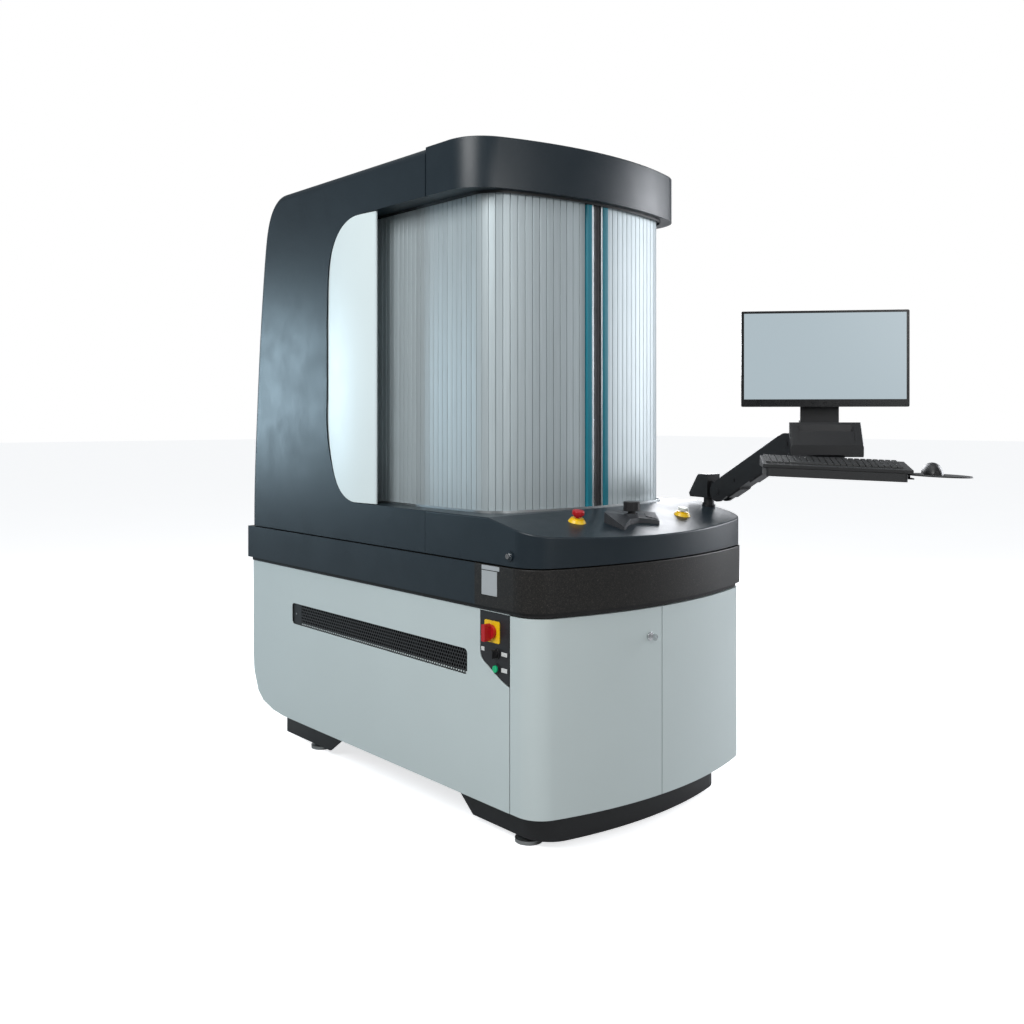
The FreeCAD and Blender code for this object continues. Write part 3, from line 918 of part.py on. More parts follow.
rows = [(60, 15), (40, 15), (21, 15), (2, 15), (-17, 15), (-36, 15)]
th_k = math.atan2(21, 144)
ktop = lambda y: 11 + (y + 74) * 21 / 144.0
for ri, ky in enumerate([55, 34, 15, -4, -23, -42]):
    x = -212.0
    while x < 206:
        wdt = 15.4
        gap = 3.3
        if ri == 5 and -140 < x < -100:
            wdt = 15.4 * 6 + 3.3 * 5
        if 76 < x < 84 or 146 < x < 152:
            x += 8.0
        if x + wdt > 213:
            break
        p = [(ky - 8.2, ktop(ky - 8.2) + 0.2), (ky + 8.2, ktop(ky + 8.2) + 0.2), (ky + 6.6, ktop(ky + 6.6) + 5.2), (ky - 6.6, ktop(ky - 6.6) + 5.2)]
        keys.append(yz(p, x, x + wdt))
        x += wdt + gap
put("keyboard_keys", tray_at(group(keys)))
PLX, PLR = 311.0, 98.0
mp = round_edges(cz(PLR, PLX, 0, -6, -2), 1, lambda e: e.BoundBox.XLength > 100)
mp = mp.cut(cz(6.3, PIV_X, 0, -20, 5))
put("mouse_platform", tray_at(mp))
# mouse: domed body with a wheel slot
sph = Part.makeSphere(60)
mt = FreeCAD.Matrix()
mt.scale(0.52, 0.9, 0.62)
dome = sph.transformGeometry(mt)
dome = dome.common(bx(-60, 60, -60, 60, 0, 60))
dome = dome.common(bx(-29.5, 29.5, -52, 52, -1, 60))
mo = moved(dome, 0, 0, 0)
mo = mo.cut(bx(-4.2, 4.2, 14, 46, 10, 60))
mo = mo.cut(bx(-0.4, 0.4, 10, 60, 12, 60))
MOX, MOY = 292.0, 0.0
put("mouse_body", tray_at(moved(mo, MOX, MOY, -1.8)))
wh = rod(11, (-3.4, 30, 22), (3.4, 30, 22))
put("mouse_wheel", tray_at(moved(wh, MOX, MOY, -1.8)))

# ---------------------------------------------------------------- pieces that belong together share a node
TOGETHER = {
    "base_frame": ["base_frame", "cabinet_floor"],
    "levelling_feet": ["levelling_feet", "foot_lock_nuts"],
    "isolators_and_gasket": ["vibration_isolators", "granite_gasket"],
    "floor_plinths": ["front_plinth", "rear_foot_brackets"],
    "side_panels": ["left_side_panel", "right_side_panel"],
    "vent_grilles": ["left_vent_grille", "right_vent_grille"],
    "control_inset_panel": ["control_inset_panel", "switch_collars", "switch_bodies"],
    "yellow_switch_bases": ["main_switch_plate", "stop_button_bases"],
    "left_front_door": ["left_front_door", "door_lock_body"],
    "door_lock_and_key": ["door_lock_barrel", "door_key"],
    "guideways_and_inserts": ["y_guideways", "granite_inserts"],
    "worktop_apron": ["worktop_apron", "apron_lock_body"],
    "rear_panels": ["rear_lower_panel", "rear_service_panel"],
    "canopy": ["canopy", "chamber_light_bars"],
    "accent_panels": ["left_accent_panel", "right_accent_panel"],
    "inner_brackets": ["accent_brackets", "drum_bearings", "door_hinge_brackets"],
    "curtain_side_runs": ["left_curtain_side_run", "right_curtain_side_run"],
    "left_curtain_edge": ["left_curtain_bar", "left_bar_trim", "left_bar_seal"],
    "right_curtain_edge": ["right_curtain_bar", "right_bar_trim", "right_bar_seal"],
    "measuring_bridge": ["measuring_bridge", "x_scale"],
    "x_carriage": ["x_carriage", "balance_cylinder"],
    "z_ram": ["z_ram", "balance_rod", "probe_head_body"],
    "probe_tilt_body": ["probe_tilt_body", "probe_stylus"],
    "cabinet_equipment": ["controller_cabinet", "controller_boards", "power_supply", "cable_duct", "air_service_unit"],
    "fan_frame": ["fan_frame", "fan_guard", "air_inlet_coupling"],
    "console_housing": ["console_housing", "console_keypad"],
    "arm_post": ["arm_post", "arm_stanchion"],
    "arm_swivel_housing": ["arm_swivel_housing", "arm_lower_pin"],
    "arm_link": ["arm_link", "arm_bolts"],
    "arm_head_block": ["arm_head_block", "holder_box", "tray_support"],
    "monitor_shell": ["monitor_shell", "monitor_tilt_bracket"],
    "keyboard": ["keyboard_body", "keyboard_keys"],
}
del OUT["rating_plates"]
NODES = {}
used = set()
for name, names in TOGETHER.items():
    solids = []
    for n in names:
        solids += OUT[n].Solids
        used.add(n)
    NODES[name] = group(solids)
for name, s in OUT.items():
    if name not in used:
        NODES[name] = s

# ---------------------------------------------------------------- export
os.makedirs("parts", exist_ok=True)
for name, s in NODES.items():
    c = s.copy()
    c.translate(V(0, -Y_MID, 0))
    c.exportStep("parts/" + name + ".step")
    print(name, "valid" if c.isValid() else "INVALID", len(c.Solids), round(c.Volume / 1000.0, 1))
print(len(NODES), "nodes")
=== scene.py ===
import bpy, bmesh, json, math, random
from mathutils import Vector, Matrix


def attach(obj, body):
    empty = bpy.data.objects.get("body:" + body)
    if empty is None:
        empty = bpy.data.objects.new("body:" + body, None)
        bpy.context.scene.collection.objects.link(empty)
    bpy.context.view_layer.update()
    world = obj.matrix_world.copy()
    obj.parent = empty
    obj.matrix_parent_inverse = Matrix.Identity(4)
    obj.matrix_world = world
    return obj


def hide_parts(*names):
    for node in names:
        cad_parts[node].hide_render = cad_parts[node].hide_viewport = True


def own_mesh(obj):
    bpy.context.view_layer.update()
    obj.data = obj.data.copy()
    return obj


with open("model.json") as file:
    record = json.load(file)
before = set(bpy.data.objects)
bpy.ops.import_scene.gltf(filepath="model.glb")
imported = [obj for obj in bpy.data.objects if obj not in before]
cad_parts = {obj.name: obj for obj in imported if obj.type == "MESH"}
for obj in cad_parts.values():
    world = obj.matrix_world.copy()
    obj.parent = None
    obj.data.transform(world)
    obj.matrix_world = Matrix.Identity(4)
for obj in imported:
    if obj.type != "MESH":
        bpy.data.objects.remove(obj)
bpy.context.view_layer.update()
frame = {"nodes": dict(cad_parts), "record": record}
N = frame["nodes"]
BODY_OF = {n: b for b, ns in frame["record"]["behaviour"]["bodies"].items() for n in ns}
SC = bpy.context.scene
COL = SC.collection
SC.view_settings.view_transform = "Standard"


def P(x, y, z):
    # millimetres from the floor and the middle of the front doors, to metres in the row frame
    return Vector((x / 1000.0, (y - 933.0) / 1000.0, z / 1000.0))


# ------------------------------------------------------------------ materials
class Mat:
    def __init__(self, name):
        self.m = bpy.data.materials.new(name)
        self.m.use_nodes = True
        self.nt = self.m.node_tree
        self.nt.nodes.clear()
        self.out = self.nt.nodes.new("ShaderNodeOutputMaterial")
        self.b = self.nt.nodes.new("ShaderNodeBsdfPrincipled")
        self.nt.links.new(self.b.outputs[0], self.out.inputs["Surface"])
        self.tc = self.nt.nodes.new("ShaderNodeTexCoord")

    def node(self, kind, **vals):
        n = self.nt.nodes.new(kind)
        for k, v in vals.items():
            if hasattr(n, k):
                setattr(n, k, v)
            else:
                n.inputs[k].default_value = v
        return n

    def link(self, a, b):
        self.nt.links.new(a, b)

    def coords(self, scale=(1, 1, 1), rot=(0, 0, 0)):
        mp = self.node("ShaderNodeMapping")
        mp.inputs["Scale"].default_value = scale
        mp.inputs["Rotation"].default_value = rot
        self.link(self.tc.outputs["Object"], mp.inputs["Vector"])
        return mp.outputs["Vector"]

    def noise(self, scale, detail=3.0, rough=0.5, stretch=(1, 1, 1), dist=0.0):
        n = self.node("ShaderNodeTexNoise")
        n.inputs["Scale"].default_value = scale
        n.inputs["Detail"].default_value = detail
        n.inputs["Roughness"].default_value = rough
        n.inputs["Distortion"].default_value = dist
        self.link(self.coords(stretch), n.inputs["Vector"])
        return n.outputs["Fac"]

    def voronoi(self, scale, feature="F1", stretch=(1, 1, 1), out="Distance"):
        n = self.node("ShaderNodeTexVoronoi")
        n.feature = feature
        n.inputs["Scale"].default_value = scale
        self.link(self.coords(stretch), n.inputs["Vector"])
        return n.outputs[out]

    def remap(self, x, a, b, c, d):
        n = self.node("ShaderNodeMapRange")
        n.clamp = True
        for k, v in (("From Min", a), ("From Max", b), ("To Min", c), ("To Max", d)):
            n.inputs[k].default_value = v
        self.link(x, n.inputs["Value"])
        return n.outputs["Result"]

    def math(self, op, a, b):
        n = self.node("ShaderNodeMath", operation=op)
        for i, v in enumerate((a, b)):
            if isinstance(v, (int, float)):
                n.inputs[i].default_value = v
            else:
                self.link(v, n.inputs[i])
        return n.outputs[0]

    def ramp(self, x, stops, interp="LINEAR"):
        n = self.node("ShaderNodeValToRGB")
        n.color_ramp.interpolation = interp
        e = n.color_ramp.elements
        while len(e) > 1:
            e.remove(e[-1])
        e[0].position, e[0].color = stops[0][0], (*stops[0][1], 1)
        for p, c in stops[1:]:
            k = e.new(p)
            k.color = (*c, 1)
        self.link(x, n.inputs["Fac"])
        return n.outputs["Color"]

    def mix(self, f, a, b, blend="MIX"):
        n = self.node("ShaderNodeMix", data_type="RGBA", blend_type=blend)
        for i, v in ((0, f), (6, a), (7, b)):
            s = n.inputs[i]
            if isinstance(v, (int, float)):
                s.default_value = v
            elif isinstance(v, tuple):
                s.default_value = (*v, 1)
            else:
                self.link(v, s)
        return n.outputs[2]

    def bump(self, h, dist, strength=1.0, normal=None):
        n = self.node("ShaderNodeBump")
        n.inputs["Distance"].default_value = dist
        n.inputs["Strength"].default_value = strength
        self.link(h, n.inputs["Height"])
        if normal is not None:
            self.link(normal, n.inputs["Normal"])
        return n.outputs["Normal"]

    def done(self, color=None, rough=None, normal=None, metallic=None, **sockets):
        for key, v in (("Base Color", color), ("Roughness", rough), ("Normal", normal), ("Metallic", metallic)):
            if v is None:
                continue
            if isinstance(v, (int, float)):
                self.b.inputs[key].default_value = v
            elif isinstance(v, tuple):
                self.b.inputs[key].default_value = (*v, 1)
            else:
                self.link(v, self.b.inputs[key])
        for k, v in sockets.items():
            self.b.inputs[k.replace("_", " ")].default_value = v
        return self.m


def painted(name, col, rough=0.38, var=0.05, tex=0.35, tex_scale=1500.0, coat=0.0, wear=None, spec=0.5):
    # powder coat: soft large tone change, fine pebbled texture, slight gloss change
    M = Mat(name)
    big = M.remap(M.noise(2.2, 3, 0.55), 0.3, 0.7, 1 - var, 1 + var)
    fine = M.remap(M.noise(420, 4, 0.6), 0.3, 0.7, 1 - var * 0.7, 1 + var * 0.7)
    k = M.math("MULTIPLY", big, fine)
    c = M.node("ShaderNodeCombineColor")
    for i in range(3):
        M.link(k, c.inputs[i])
    colr = M.mix(1.0, col, c.outputs[0], "MULTIPLY")
    r = M.remap(M.noise(9, 4, 0.6), 0.3, 0.7, rough - 0.035, rough + 0.035)
    nrm = M.bump(M.noise(tex_scale, 2, 0.5), 0.00012, tex)
    nrm = M.bump(M.noise(14, 2, 0.5), 0.0009, 0.12, nrm)
    return M.done(colr, r, nrm, 0.0, Coat_Weight=coat, Specular_IOR_Level=spec)


def metal(name, col, rough=0.3, grain=(60, 60, 60), grain_amt=0.12, metallic=1.0, bump=0.15, var=0.05):
    M = Mat(name)
    g = M.noise(20, 5, 0.65, stretch=grain)
    tone = M.remap(g, 0.3, 0.7, 1 - grain_amt, 1 + grain_amt)
    big = M.remap(M.noise(3, 2, 0.5), 0.3, 0.7, 1 - var, 1 + var)
    k = M.math("MULTIPLY", tone, big)
    c = M.node("ShaderNodeCombineColor")
    for i in range(3):
        M.link(k, c.inputs[i])
    colr = M.mix(1.0, col, c.outputs[0], "MULTIPLY")
    r = M.remap(g, 0.25, 0.75, rough - 0.06, rough + 0.08)
    nrm = M.bump(g, 0.00015, bump)
    return M.done(colr, r, nrm, metallic)


def plastic(name, col, rough=0.45, tex=0.25, scale=1900.0, var=0.06, spec=0.5):
    M = Mat(name)
    v = M.noise(scale, 3, 0.6)
    tone = M.remap(M.noise(30, 4, 0.6), 0.3, 0.7, 1 - var, 1 + var)
    c = M.node("ShaderNodeCombineColor")
    for i in range(3):
        M.link(tone, c.inputs[i])
    colr = M.mix(1.0, col, c.outputs[0], "MULTIPLY")
    r = M.remap(M.noise(60, 4, 0.6), 0.3, 0.7, rough - 0.04, rough + 0.05)
    return M.done(colr, r, M.bump(v, 0.00012, tex), 0.0, Specular_IOR_Level=spec)


def granite_mat():
    M = Mat("granite")
    a = M.noise(260, 7, 0.72)
    b = M.noise(90, 4, 0.6)
    base = M.ramp(a, [(0.30, (0.0025, 0.0024, 0.0024)), (0.47, (0.008, 0.0075, 0.007)), (0.60, (0.020, 0.018, 0.016)), (0.74, (0.07, 0.06, 0.05))])
    cell = M.voronoi(430, out="Distance")
    fl = M.remap(cell, 0.10, 0.22, 0.75, 0.0)
    pick = M.remap(M.noise(120, 2, 0.5), 0.52, 0.60, 0.0, 1.0)
    f = M.math("MULTIPLY", fl, pick)
    c = M.mix(f, base, (0.17, 0.145, 0.12))
    mica = M.remap(M.voronoi(700, out="Distance"), 0.06, 0.12, 1.0, 0.0)
    mica = M.math("MULTIPLY", mica, M.remap(b, 0.55, 0.62, 0.0, 0.8))
    c = M.mix(mica, c, (0.26, 0.25, 0.23))
    r = M.remap(a, 0.3, 0.7, 0.36, 0.50)
    return M.done(c, r, M.bump(a, 0.0002, 0.12), 0.0, Specular_IOR_Level=0.35)


def slat_mat(name, col):
    # extruded, satin anodised: lines run up the slat, each slat its own random tone, and the side-run corner slats
    # carry a painted highlight (tone 1.1)
    M = Mat(name)
    g = M.noise(22, 5, 0.62, stretch=(70, 70, 0.35))
    g2 = M.noise(6, 3, 0.5, stretch=(30, 30, 0.9))
    att = M.node("ShaderNodeAttribute")
    att.attribute_name = "slat_tone_and_corner_highlight"
    tone = M.math("MULTIPLY", M.remap(g, 0.3, 0.7, 0.93, 1.07), M.remap(g2, 0.3, 0.7, 0.96, 1.04))
    tone = M.math("MULTIPLY", tone, att.outputs["Fac"])
    c = M.node("ShaderNodeCombineColor")
    for i in range(3):
        M.link(tone, c.inputs[i])
    colr = M.mix(1.0, col, c.outputs[0], "MULTIPLY")
    r = M.remap(g, 0.3, 0.7, 0.38, 0.50)
    return M.done(colr, r, M.bump(g, 0.0001, 0.15), 0.30)


def screen_mat():
    # lit display: plain window frames and panels, nothing written
    M = Mat("display_lit")
    sep = M.node("ShaderNodeSeparateXYZ")
    uv = M.node("ShaderNodeUVMap")
    M.link(uv.outputs[0], sep.inputs[0])
    u, v = sep.outputs[0], sep.outputs[1]

    def rect(u0, u1, v0, v1, soft=0.002):
        a = M.remap(u, u0 - soft, u0 + soft, 0, 1)
        b = M.remap(u, u1 - soft, u1 + soft, 1, 0)
        c = M.remap(v, v0 - soft, v0 + soft, 0, 1)
        d = M.remap(v, v1 - soft, v1 + soft, 1, 0)
        return M.math("MULTIPLY", M.math("MULTIPLY", a, b), M.math("MULTIPLY", c, d))

    grad = M.ramp(v, [(0.0, (0.50, 0.60, 0.65)), (0.55, (0.42, 0.53, 0.58)), (1.0, (0.50, 0.62, 0.66))])
    c = grad
    for r, col in (((0.0, 1.0, 0.955, 1.0), (0.68, 0.72, 0.74)), ((0.0, 0.3, 0.93, 0.955), (0.55, 0.6, 0.64)),
                   ((0.0, 0.285, 0.38, 0.93), (0.60, 0.67, 0.71)), ((0.03, 0.25, 0.47, 0.9), (0.74, 0.79, 0.81)),
                   ((0.03, 0.25, 0.86, 0.9), (0.20, 0.42, 0.60)), ((0.05, 0.22, 0.78, 0.80), (0.45, 0.55, 0.6)),
                   ((0.05, 0.2, 0.70, 0.72), (0.45, 0.55, 0.6)), ((0.05, 0.23, 0.62, 0.64), (0.45, 0.55, 0.6)),
                   ((0.05, 0.17, 0.54, 0.56), (0.45, 0.55, 0.6)), ((0.70, 0.79, 0.49, 0.93), (0.78, 0.81, 0.83)),
                   ((0.87, 0.985, 0.08, 0.20), (0.62, 0.03, 0.035)), ((0.885, 0.97, 0.135, 0.142), (0.75, 0.3, 0.28)),
                   ((0.0, 1.0, 0.0, 0.035), (0.10, 0.13, 0.15)), ((0.005, 0.1, 0.008, 0.027), (0.30, 0.36, 0.4)),
                   ((0.86, 0.99, 0.008, 0.027), (0.24, 0.29, 0.32))):
        c = M.mix(rect(*r), c, col)
    px = M.remap(M.noise(4200, 0, 0.5), 0.4, 0.6, 0.97, 1.03)
    M.link(c, M.b.inputs["Emission Color"])
    M.b.inputs["Emission Strength"].default_value = 0.98
    return M.done((0.02, 0.02, 0.022), M.remap(px, 0.9, 1.1, 0.22, 0.30), None, 0.0)


MATS = {
    "cover": painted("paint_dark_blue", (0.0075, 0.0150, 0.0215), 0.38, 0.04, 0.30, spec=0.42),
    "panel": painted("paint_light_grey", (0.50, 0.565, 0.565), 0.42, 0.015, 0.30),
    # lighter, glossier copy of the light grey panel paint: painted light on the upward-facing vent ledge
    "panel_lit_ledge": painted("paint_light_grey_lit_ledge", (0.60, 0.66, 0.66), 0.36, 0.015, 0.2),
    "black": painted("paint_black", (0.010, 0.0105, 0.012), 0.42, 0.08, 0.40),
    "accent": painted("paint_white", (0.66, 0.74, 0.745), 0.35, 0.012, 0.2),
    "teal": painted("paint_teal", (0.0, 0.150, 0.205), 0.34, 0.03, 0.2),
    "granite": granite_mat(),
    "slat": slat_mat("anodised_slat", (0.40, 0.455, 0.475)),
    "slat_in": metal("slat_hinge", (0.20, 0.215, 0.22), 0.45, (60, 60, 0.4), 0.06, metallic=0.4),
    "rail": metal("anodised_rail", (0.50, 0.53, 0.54), 0.36, (40, 2, 40), 0.06),
    "trim": metal("bright_trim", (0.72, 0.76, 0.78), 0.30, (60, 60, 0.4), 0.05),
    "seal": plastic("seal_rubber", (0.008, 0.008, 0.009), 0.6, 0.4, 900),
    "steel": metal("ground_steel", (0.52, 0.53, 0.54), 0.26, (3, 90, 60), 0.08),
    "zinc": metal("zinc_plated", (0.46, 0.47, 0.47), 0.34, (30, 30, 30), 0.12),
    "chrome": metal("bright_chrome", (0.70, 0.71, 0.72), 0.14, (20, 20, 20), 0.03, bump=0.05),
    "bridge": painted("paint_bridge_grey", (0.50, 0.53, 0.54), 0.40, 0.02, 0.35),
    "ceramic": plastic("ceramic_ram", (0.72, 0.72, 0.69), 0.30, 0.1, 900, 0.02),
    "probe": metal("probe_body", (0.18, 0.185, 0.19), 0.38, (20, 20, 60), 0.06),
    "table": metal("turned_table", (0.48, 0.48, 0.48), 0.28, (60, 60, 60), 0.10),
    "mesh": painted("paint_mesh_black", (0.020, 0.021, 0.022), 0.34, 0.05, 0.3),
    "foam": plastic("filter_foam", (0.0022, 0.0023, 0.0024), 0.95, 1.0, 420, 0.2, 0.05),
    "rail_dark": painted("paint_rail_black", (0.006, 0.007, 0.008), 0.45, 0.05, 0.3),
    "plate": metal("label_plate", (0.50, 0.52, 0.53), 0.38, (4, 60, 60), 0.04, metallic=0.5),
    "label": plastic("label_white", (0.60, 0.61, 0.60), 0.45, 0.1, 1600, 0.03),
    "lamp": plastic("light_diffuser", (0.80, 0.82, 0.80), 0.5, 0.1, 1500, 0.02),
    "copper": metal("copper_wire", (0.55, 0.22, 0.11), 0.35, (40, 40, 4), 0.06),
    "board": plastic("circuit_board", (0.010, 0.055, 0.028), 0.38, 0.2, 700, 0.15),
    "led_green": plastic("led_green", (0.02, 0.5, 0.18), 0.25, 0.05, 900, 0.02),
    "equip": painted("paint_cabinet_grey", (0.38, 0.40, 0.40), 0.45, 0.03, 0.4),
    "black_plastic": plastic("plastic_black", (0.0085, 0.0085, 0.0095), 0.42, 0.30),
    "matt_plastic": plastic("plastic_matt_black", (0.012, 0.0125, 0.0135), 0.58, 0.45, 1300),
    "keys": plastic("keycap_black", (0.013, 0.0135, 0.0145), 0.50, 0.35, 1500),
    "console": plastic("console_shell", (0.030, 0.033, 0.038), 0.50, 0.45, 1200),
    "console_face": plastic("console_keypad", (0.20, 0.215, 0.225), 0.38, 0.15, 1500),
    "yellow": plastic("switch_yellow", (0.80, 0.50, 0.004), 0.34, 0.12, 1500, 0.03),
    "red": plastic("switch_red", (0.42, 0.008, 0.012), 0.30, 0.12, 1500, 0.04),
    "green": plastic("switch_green", (0.0, 0.42, 0.17), 0.30, 0.10, 1500, 0.04),
    "button_white": plastic("button_white", (0.62, 0.64, 0.60), 0.34, 0.10, 1500, 0.03),
    "rubber": plastic("isolator_rubber", (0.012, 0.012, 0.012), 0.72, 0.6, 700),
    "display": screen_mat(),
    "bezel": plastic("bezel_black", (0.0035, 0.0037, 0.0045), 0.28, 0.12, 1900),
}


def use(obj, mat):
    obj.data.materials.clear()
    obj.data.materials.append(MATS[mat] if isinstance(mat, str) else mat)
    return obj


# ------------------------------------------------------------------ meshes
def new_obj(name, bm_or_mesh, mat, body):
    if isinstance(bm_or_mesh, bmesh.types.BMesh):
        me = bpy.data.meshes.new(name)
        bm_or_mesh.to_mesh(me)
        bm_or_mesh.free()
    else:
        me = bm_or_mesh
    o = bpy.data.objects.new(name, me)
    COL.objects.link(o)
    if mat is not None:
        use(o, mat)
    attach(o, body)
    return o


def sharpen(bm, angle=32.0):
    for f in bm.faces:
        f.smooth = True
    lim = math.radians(angle)
    for e in bm.edges:
        e.smooth = not (len(e.link_faces) != 2 or e.calc_face_angle(0) > lim)


def clean(bm):
    bmesh.ops.remove_doubles(bm, verts=bm.verts, dist=2e-6)
    bmesh.ops.dissolve_limit(bm, angle_limit=math.radians(0.4), verts=bm.verts, edges=bm.edges)


def add_bevel(o, width, segments=2, angle=32.0):
    m = o.modifiers.new("edge", "BEVEL")
    m.width = width
    m.segments = segments
    m.limit_method = "ANGLE"
    m.angle_limit = math.radians(angle)
    m.use_clamp_overlap = True
    m.harden_normals = True
    m.miter_outer = "MITER_ARC"
    return o


def islands(bm):
    left, out = set(bm.verts), []
    while left:
        seed = left.pop()
        stack, got = [seed], {seed}
        while stack:
            v = stack.pop()
            for e in v.link_edges:
                w = e.other_vert(v)
                if w not in got:
                    got.add(w)
                    stack.append(w)
        left -= got
        out.append(got)
    return out


def carry(node, mat, bevel=0.0008, segments=2, angle=32.0, split=None, smooth=32.0):
    """The CAD node's own shape, welded, with real rounded edges. split gives (name, material) for each loose part by its box."""
    bm = bmesh.new()
    bm.from_mesh(N[node].data)
    clean(bm)
    made = []
    if split is None:
        groups = {("body_" + node, mat, bevel): [v for v in bm.verts]}
    else:
        groups = {}
        for isl in islands(bm):
            lo = [min(v.co[i] for v in isl) for i in range(3)]
            hi = [max(v.co[i] for v in isl) for i in range(3)]
            lo = (lo[0] * 1000, lo[1] * 1000 + 933, lo[2] * 1000)
            hi = (hi[0] * 1000, hi[1] * 1000 + 933, hi[2] * 1000)
            key = split(lo, hi)
            if len(key) == 2:
                key = (*key, bevel)
            groups.setdefault(key, []).extend(isl)
    for (name, mt, bev), verts in groups.items():
        keep = set(verts)
        b2 = bm.copy()
        b2.verts.ensure_lookup_table()
        bm.verts.ensure_lookup_table()
        idx = {v.index for v in keep} if False else None
        bm.verts.index_update()
        ids = {v.index for v in keep}
        b2.verts.ensure_lookup_table()
        b2.verts.index_update()
        bmesh.ops.delete(b2, geom=[v for v in b2.verts if v.index not in ids], context="VERTS")
        sharpen(b2, smooth)
        o = new_obj(name, b2, mt, BODY_OF[node])
        if bev:
            add_bevel(o, bev, segments, angle)
        made.append(o)
    bm.free()
    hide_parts(node)
    return made


def simple(node, mat):
    use(N[node], mat)


ASSIGN = {
    "base_frame": "black", "levelling_feet": "zinc", "isolators_and_gasket": "rubber", "floor_plinths": "black",
    "side_panels": "panel", "vent_grilles": "black", "control_inset_panel": "black", "yellow_switch_bases": "yellow",
    "left_front_door": "panel", "right_front_door": "panel", "door_lock_and_key": "chrome", "granite_base": "granite",
    "guideways_and_inserts": "steel", "skirt_band": "cover", "worktop_apron": "cover", "rear_cover": "cover", "rear_panels": "cover",
    "canopy": "cover", "accent_panels": "accent", "inner_brackets": "zinc", "curtain_side_runs": "slat",
    "left_curtain_front_run": "slat", "right_curtain_front_run": "slat", "left_curtain_edge": "teal", "right_curtain_edge": "teal",
    "left_winding_drum": "rail", "right_winding_drum": "rail", "curtain_rails": "rail", "measuring_bridge": "bridge",
    "x_carriage": "bridge", "z_ram": "ceramic", "probe_rotary_body": "probe", "probe_tilt_body": "probe",
    "rotary_table_base": "table", "rotary_table_platter": "table", "cabinet_equipment": "equip", "fan_frame": "black_plastic",
    "fan_rotor": "black_plastic", "console_housing": "console", "joystick_gimbal": "zinc", "joystick_stick": "matt_plastic",
    "joystick_knob": "black_plastic", "emergency_stop_button": "red", "acknowledge_button": "button_white",
    "main_switch_handle": "red", "selector_knob": "black_plastic", "start_button": "green", "apron_lock_barrel": "chrome",
    "arm_post": "black", "arm_swivel_housing": "black", "arm_link": "black", "arm_head_block": "black", "monitor_neck": "black",
    "monitor_shell": "bezel", "monitor_screen": "display", "keyboard_tray": "matt_plastic", "keyboard": "keys",
    "mouse_platform": "matt_plastic", "mouse_body": "black_plastic", "mouse_wheel": "rubber",
}
for n, m in ASSIGN.items():
    simple(n, m)

# ------------------------------------------------------------------ small helpers
def solid_box(name, lo, hi, mat, body, bevel=0.0005):
    bm = bmesh.new()
    bmesh.ops.create_cube(bm, size=1.0)
    for v in bm.verts:
        v.co = P(*[lo[i] if v.co[i] < 0 else hi[i] for i in range(3)])
    o = new_obj(name, bm, mat, body)
    add_bevel(o, bevel, 2)
    return o

def pin(name, c, axis, r, length, mat, body, n=24):
    bm = bmesh.new()
    m = Vector(axis).normalized().to_track_quat("Z", "Y").to_matrix().to_4x4()
    bmesh.ops.create_cone(bm, cap_ends=True, segments=n, radius1=r / 1000, radius2=r / 1000, depth=length / 1000)
    for v in bm.verts:
        v.co = m @ Vector((v.co.x, v.co.y, v.co.z + length / 2000)) + P(*c)
    sharpen(bm)
    o = new_obj(name, bm, mat, body)
    add_bevel(o, min(r, length) * 0.00018, 2)
    return o

# ------------------------------------------------------------------ roller curtain
rnd = random.Random(7)

def slat_profile(w):
    h = w / 2
    return [(-h, -1.3), (-h + 1.0, -0.25), (-h * 0.5, 0.0), (h * 0.5, 0.0), (h - 1.0, -0.25), (h, -1.3), (h, -4.4),
            (h + 2.2, -4.8), (h + 2.2, -7.8), (-h + 4.2, -7.8), (-h + 4.2, -4.8), (-h, -4.4)]

def curtain_path(kind):
    if kind == "front":
        th = [math.radians(2.42 + (15.96 - 2.42) * i / 11) for i in range(12)]
        p = [(-1261 * math.sin(t), 1586 - 1261 * math.cos(t)) for t in th]
        return [(p[i], p[i + 1], 1.0) for i in range(11)]
    ph = [math.radians(15.99 + 74.01 * i / 5) for i in range(6)]
    p = [(-322 - 94 * math.sin(t), 464.3 - 94 * math.cos(t)) for t in ph]
    # corner facets 1 and 2 get tone 1.1: a painted highlight where the rounded corner catches the light
    out = [(p[i], p[i + 1], 1.1 if i in (1, 2) else 1.0) for i in range(5)]
    y = 464.3
    while y + 26 <= 1531:
        out.append(((-416.0, y), (-416.0, y + 26), 1.0))
        y += 26
    return out

def slats(name, kind, m):
    bm = bmesh.new()
    tone = bm.verts.layers.float.new("slat_tone_and_corner_highlight")
    for a, b, k in curtain_path(kind):
        L = math.hypot(b[0] - a[0], b[1] - a[1])
        ux, uy = (b[0] - a[0]) / L, (b[1] - a[1]) / L
        nx, ny = -uy, ux
        cx, cy = (a[0] + b[0]) / 2, (a[1] + b[1]) / 2
        # random slat tone times k, which carries the painted corner highlight from curtain_path
        t, j = k * rnd.uniform(0.93, 1.06), rnd.uniform(-0.15, 0.0)
        rows = []
        for z in (1014.0, 2046.0):
            r = []
            for s, n in slat_profile(L - 1.5):
                v = bm.verts.new(P(m * (cx + ux * s + nx * (n + j)), cy + uy * s + ny * (n + j), z))
                v[tone] = t
                r.append(v)
            rows.append(r)
        q = len(rows[0])
        for i in range(q):
            bm.faces.new((rows[0][i], rows[0][(i + 1) % q], rows[1][(i + 1) % q], rows[1][i]))
        bm.faces.new(rows[0])
        bm.faces.new(rows[1])
    bmesh.ops.recalc_face_normals(bm, faces=bm.faces)
    sharpen(bm, 30)
    return new_obj(name, bm, "slat", "frame")

for side, m in (("left", 1), ("right", -1)):
    o = slats(side + "_front_slats", "front", m)
    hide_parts(side + "_curtain_front_run")
    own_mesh(o)
    s_ = slats(side + "_side_slats", "side", m)
    if side == "left":
        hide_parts("curtain_side_runs")

